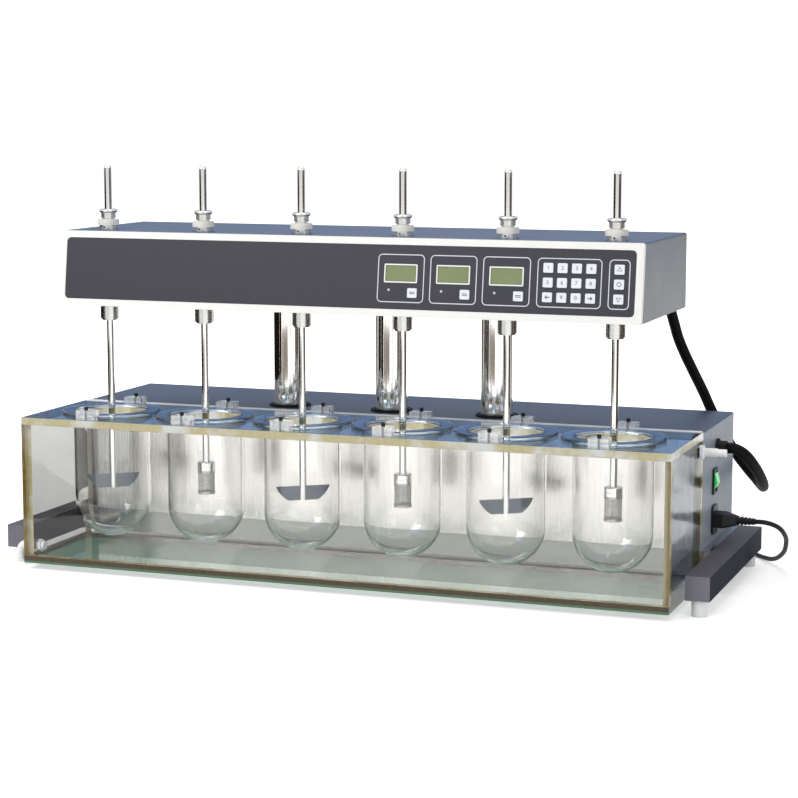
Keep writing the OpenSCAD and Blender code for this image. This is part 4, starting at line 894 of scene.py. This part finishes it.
# %% Wire cloth
UPRIGHTS, RINGS, CLOTH_R = 48, 20, 11.1
WIRE_R, WIRE_SIDES = 0.23, 5
CLOTH_LOW, CLOTH_HIGH = 111.5, 137.4
RIM = [(10.6, 0), (12.0, 0), (12.3, 0.3), (12.3, 3.2), (12.0, 3.5), (10.6, 3.5), (10.6, 0)]
RIM_LOW, RIM_SIDES = 108.0, 40
# The floor has wires both ways, one layer over the other.
FLOOR_WIRES, FLOOR_PITCH, FLOOR_R = 7, 1.45, 10.9
FLOOR_LOW, FLOOR_HIGH = 109.5, 109.9


def cloth_point(x, k, j, over):
    """Where upright k meets ring j, pushed out or in by half a wire."""
    r = CLOTH_R + over * WIRE_R * (1 if (k + j) % 2 else -1)
    a = 2 * math.pi * k / UPRIGHTS
    z = CLOTH_LOW + (CLOTH_HIGH - CLOTH_LOW) * (j + 0.5) / RINGS
    return Vector((x + r * math.cos(a), LINE_Y + r * math.sin(a), z)) * MM


def basket_parts(x):
    """Points and faces of a basket's rims, its woven wall and its floor, for a station at x."""
    parts = [turned(RIM, RIM_SIDES, lambda u, v, z: Vector((x + u, LINE_Y + v, low + z)) * MM)
             for low in (RIM_LOW, CLOTH_HIGH)]
    uprights = [[cloth_point(x, i, j, 1) for j in range(RINGS)] for i in range(UPRIGHTS)]
    hoops = [[cloth_point(x, i, j, -1) for i in range(UPRIGHTS)] for j in range(RINGS)]
    cross = []
    for off in (FLOOR_PITCH * i for i in range(-FLOOR_WIRES, FLOOR_WIRES + 1)):
        reach = math.sqrt(FLOOR_R ** 2 - off ** 2)
        cross.append([Vector((x + off, LINE_Y + t * reach, FLOOR_LOW)) * MM for t in (-1, 0, 1)])
        cross.append([Vector((x + t * reach, LINE_Y + off, FLOOR_HIGH)) * MM for t in (-1, 0, 1)])
    for lines, closed in ((uprights, False), (hoops, True), (cross, False)):
        parts.append(tubes(lines, WIRE_R * MM, WIRE_SIDES, closed))
    return parts


print("wires in a basket:", UPRIGHTS + RINGS + 2 * (2 * FLOOR_WIRES + 1))

# %% [markdown]
# ## Baskets
# The solid has a closed cup at the rod's end, which is right for touching things but not for looking through.
# So rod and cap are taken over from the solid as they are, and the cloth takes the cup's place.

# %% Baskets
CAP_LOW = 140.95
DOME_Z = 558.7
for k in BASKETS:
    old = NODES["basket_shaft_%d" % k].data
    points = [v.co.copy() for v in old.vertices]
    faces = [tuple(f.vertices) for f in old.polygons
             if min(old.vertices[v].co.z for v in f.vertices) > CAP_LOW * MM]
    rod_faces = len(faces)
    for some_points, some_faces in basket_parts(STATIONS[k - 1]):
        faces += [tuple(v + len(points) for v in f) for f in some_faces]
        points += some_points
    basket = piece("woven_basket_%d" % k, None, shaft_steel, points, faces, rounded=True)
    basket.data.materials.append(basket_steel)
    for face in basket.data.polygons[rod_faces:]:
        face.material_index = 1
    weld = bmesh.new()
    weld.from_mesh(basket.data)
    bmesh.ops.remove_doubles(weld, verts=weld.verts, dist=0.001 * MM)
    bmesh.ops.delete(weld, geom=[v for v in weld.verts if not v.link_faces], context="VERTS")
    # A ring close under the rod's domed end keeps the dome's slope out of the long sides' shading.
    bmesh.ops.bisect_plane(weld, geom=weld.verts[:] + weld.edges[:] + weld.faces[:],
                           plane_co=(0, 0, DOME_Z * MM), plane_no=(0, 0, 1))
    weld.to_mesh(basket.data)
    weld.free()
    basket.data.set_sharp_from_angle(angle=math.radians(35))
    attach(basket, "shaft_%d" % k)
    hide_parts("basket_shaft_%d" % k)
    print(basket.name, len(basket.data.polygons), "faces")

# %% [markdown]
# ## Bead and tie
# A bead of white silicone closes the joint between the bath's plate and the cabinet. It is drawn by hand, so
# it wavers a little. A strap holds the coil of the lead: a thin band round the bundle, flat where the bundle
# lies on the bench.

# %% Bead and tie
BEAD_X, BEAD_Y, BEAD_Z = range(-460, 461, 10), -8.0, 214.7
BEAD_HALF, BEAD_HIGH = 2.4, 2.0
ARC = 9
points, faces = [], []
for x in BEAD_X:
    waver = 0.25 * math.sin(x / 37) + 0.15 * math.sin(x / 11)
    wide, high = BEAD_HALF + waver * 0.4, BEAD_HIGH + waver * 0.3
    points += [Vector((x, BEAD_Y + wide * math.cos(a), BEAD_Z + high * math.sin(a))) * MM
               for a in (math.pi * s / (ARC - 1) for s in range(ARC))]
for k in range(len(BEAD_X) - 1):
    faces += band(k * ARC, (k + 1) * ARC, ARC, closed=False)
piece("silicone_bead", "base", silicone, points, [f[::-1] for f in faces], rounded=True)

TIE_NEAR, TIE_FAR, TIE_TOP, TIE_HALF = 24.9, 45.9, 13.8, 6
# The strap is thin where the bundle presses it on the bench.
STRAP, PRESSED = 0.9, 0.05
loop_out, loop_in = [], []
for turn, (u, z, thick) in enumerate(((TIE_FAR, TIE_TOP, STRAP), (TIE_NEAR, TIE_TOP, STRAP),
                                      (TIE_NEAR, PRESSED, PRESSED), (TIE_FAR, PRESSED, PRESSED))):
    for a in (math.pi / 2 * (turn + j / 4) for j in range(5)):
        loop_in.append((u, z))
        loop_out.append((u + STRAP * math.cos(a), max(0.0, z + thick * math.sin(a))))
points = [Vector((COIL_X + u, COIL_Y + y, z)) * MM for y in (-TIE_HALF, TIE_HALF) for u, z in loop_in + loop_out]
n = len(loop_in)
faces = band(0, n, n) + band(3 * n, 2 * n, n) + band(n, 3 * n, n) + band(2 * n, 0, n)
piece("coil_tie", "base", strap_black, points, faces)
print("bead and tie made")

# %% [markdown]
# ## Paper floor
# The picture has a plain white ground. The floor is white and takes the object's shadow, and for the camera,
# for mirrors and for glass it gives a little light of its own, as a lit paper sweep does. That light is weaker
# close to the object, and weaker still under the cabinet: a painted shadow where lamps don't reach.

# %% Paper floor
def on_show(tree):
    """One for rays from the camera, from mirrors and through glass, and nought for all others."""
    path = add(tree, "LightPath")
    seen = add(tree, "Math", {0: path.outputs["Is Camera Ray"], 1: path.outputs["Is Glossy Ray"]},
               operation="MAXIMUM")
    seen = add(tree, "Math", {0: seen.outputs[0], 1: path.outputs["Is Transmission Ray"]}, operation="MAXIMUM")
    return seen.outputs[0]


# Lengths on the floor are in metres: where its light starts and stops growing, and for each axis the cabinet's
# middle and where its painted shadow starts and stops fading.
SWEEP_NEAR, SWEEP_FAR = 0.65, 1.5
PAINTED_SHADOW_SPAN = (("X", 0.0, 0.42, 0.52), ("Y", 0.1, 0.08, 0.12))
# Paper: an even white without gloss.
paper, tree = new_finish("paper_sweep_white")
place = add(tree, "TexCoord").outputs["Object"]
fibre = add(tree, "TexNoise", {"Vector": place, "Scale": 1 / (250 * MM), "Detail": 3})
tone = add(tree, "Mix", {0: fibre.outputs["Fac"], 6: colour("#f2f2f2"), 7: colour("#f8f8f8")}, data_type="RGBA")
far = add(tree, "VectorMath", {0: place}, operation="LENGTH")
sweep = add(tree, "MapRange", {"Value": far.outputs["Value"], "From Min": SWEEP_NEAR, "From Max": SWEEP_FAR,
                               "To Min": 0.5, "To Max": 1.0})
plan = add(tree, "SeparateXYZ", {0: place})
outside = []
for axis, middle, first, last in PAINTED_SHADOW_SPAN:
    off = add(tree, "Math", {0: plan.outputs[axis], 1: middle}, operation="SUBTRACT")
    off = add(tree, "Math", {0: off.outputs[0]}, operation="ABSOLUTE")
    outside.append(add(tree, "MapRange", {"Value": off.outputs[0], "From Min": first, "From Max": last}))
# Under the cabinet the floor's light falls to 0.3 of the sweep: a painted shadow.
lit = add(tree, "Math", {0: outside[0].outputs[0], 1: outside[1].outputs[0]}, operation="MAXIMUM")
lit = add(tree, "MapRange", {"Value": lit.outputs[0], "To Min": 0.3, "To Max": 1.0})
sweep = add(tree, "Math", {0: sweep.outputs[0], 1: lit.outputs[0]}, operation="MULTIPLY")
glow = add(tree, "Math", {0: on_show(tree), 1: sweep.outputs[0]}, operation="MULTIPLY")
shader = add(tree, "BsdfPrincipled", {"Base Color": tone.outputs[2], "Roughness": 0.9, "Specular IOR Level": 0.0,
                                      "Emission Color": colour("#ffffff"), "Emission Strength": glow.outputs[0]})
add(tree, "OutputMaterial", {"Surface": shader.outputs[0]})
# The floor lies a hair under the bench, so that it doesn't flicker with the undersides that stand on it.
REACH, HAIR = 9, 0.0004
corners = [(-REACH, -REACH, -HAIR), (REACH, -REACH, -HAIR), (REACH, REACH, -HAIR), (-REACH, REACH, -HAIR)]
floor = piece("floor", None, paper, corners, [(0, 1, 2, 3)])
floor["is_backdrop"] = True
print("floor:", 2 * REACH, "m wide")

# %% [markdown]
# ## Sky and lamps
# The sky is white where it is seen and dimmer where it only gives light. A large soft lamp at the front left is
# the key light, with a weak fill from the right and one from above, so the right ends stay in shade.

# %% Sky and lamps
world = bpy.data.worlds.new("studio")
scene.world = world
world.use_nodes = True
tree = world.node_tree
tree.nodes.clear()
level = add(tree, "MapRange", {"Value": on_show(tree), "To Min": 0.45, "To Max": 1.0})
sky = add(tree, "Background", {"Color": colour("#ffffff"), "Strength": level.outputs[0]})
add(tree, "OutputWorld", {"Surface": sky.outputs[0]})

# Each lamp's place in metres, its power in watts and its width in metres.
LAMP_ROWS = (("key_lamp", (-1.6, -2.6, 2.4), 62, 1.8),
             ("fill_lamp", (2.6, -1.6, 1.4), 12, 1.6),
             ("top_lamp", (0.0, 0.2, 3.0), 30, 2.2))
AIM = Vector((0, 0, 0.25))
for name, at, watts, size in LAMP_ROWS:
    lamp = bpy.data.lights.new(name, "AREA")
    lamp.energy, lamp.size = watts, size
    holder = bpy.data.objects.new(name, lamp)
    holder.location = at
    holder.rotation_euler = (AIM - Vector(at)).to_track_quat("-Z", "Y").to_euler()
    holder.visible_camera = False
    scene.collection.objects.link(holder)
print("lamps:", len(LAMP_ROWS))

# %% [markdown]
# ## Cards
# Polished metal shows only what is round it, so cards stand about, as in a studio: only mirrors and glass see
# them. Each card is a curved strip: a level part and a wall that stands on its outer edge.

# %% Cards
def card_paper(name, code):
    """Evenly lit card: a mottled colour that gives its own light, for dark lines in bright metal."""
    material, tree = new_finish(name)
    place = add(tree, "TexCoord").outputs["Object"]
    mottle = add(tree, "TexNoise", {"Vector": place, "Scale": 1 / (400 * MM)})
    light = add(tree, "MapRange", {"Value": mottle.outputs["Fac"], "To Min": 0.8, "To Max": 1.2})
    glow = add(tree, "Emission", {"Color": colour(code), "Strength": light.outputs[0]})
    add(tree, "OutputMaterial", {"Surface": glow.outputs[0]})
    return material


# First and last angle round the object in degrees, then the inner, outer, lowest and highest edge in metres.
CARDS = (("card_left", "#1f1712", 138, 228, 0.8, 2.65, 0.004, 0.5),
         ("card_front", "#968c84", 230, 275, 1.9, 2.65, 0.004, 0.06),
         ("card_right", "#54463b", -30, 47, 0.95, 2.65, 0.004, 0.5),
         ("card_back", "#7389ad", 52, 134, 2.6, 2.65, 0.3, 1.3))
ROW = 13
for name, code, first, last, inner, outer, low, high in CARDS:
    arc = [math.radians(first + (last - first) * j / (ROW - 1)) for j in range(ROW)]
    points = [(r * math.cos(a), r * math.sin(a), z) for r, z in ((inner, low), (outer, low), (outer, high))
              for a in arc]
    faces = [f for j in (0, ROW) for f in band(j, j + ROW, ROW, closed=False)]
    card = piece(name, None, card_paper("paper_" + name, code), points, faces)
    card.visible_camera = card.visible_diffuse = card.visible_shadow = False
    card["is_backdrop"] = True
print("cards:", len(CARDS))

# %% Size and finish
low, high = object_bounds()
grown = [[round(v / MM, 2) for v in gap] for gap in (cad_low - low, high - cad_high)]
print("grown by", *grown, "mm")
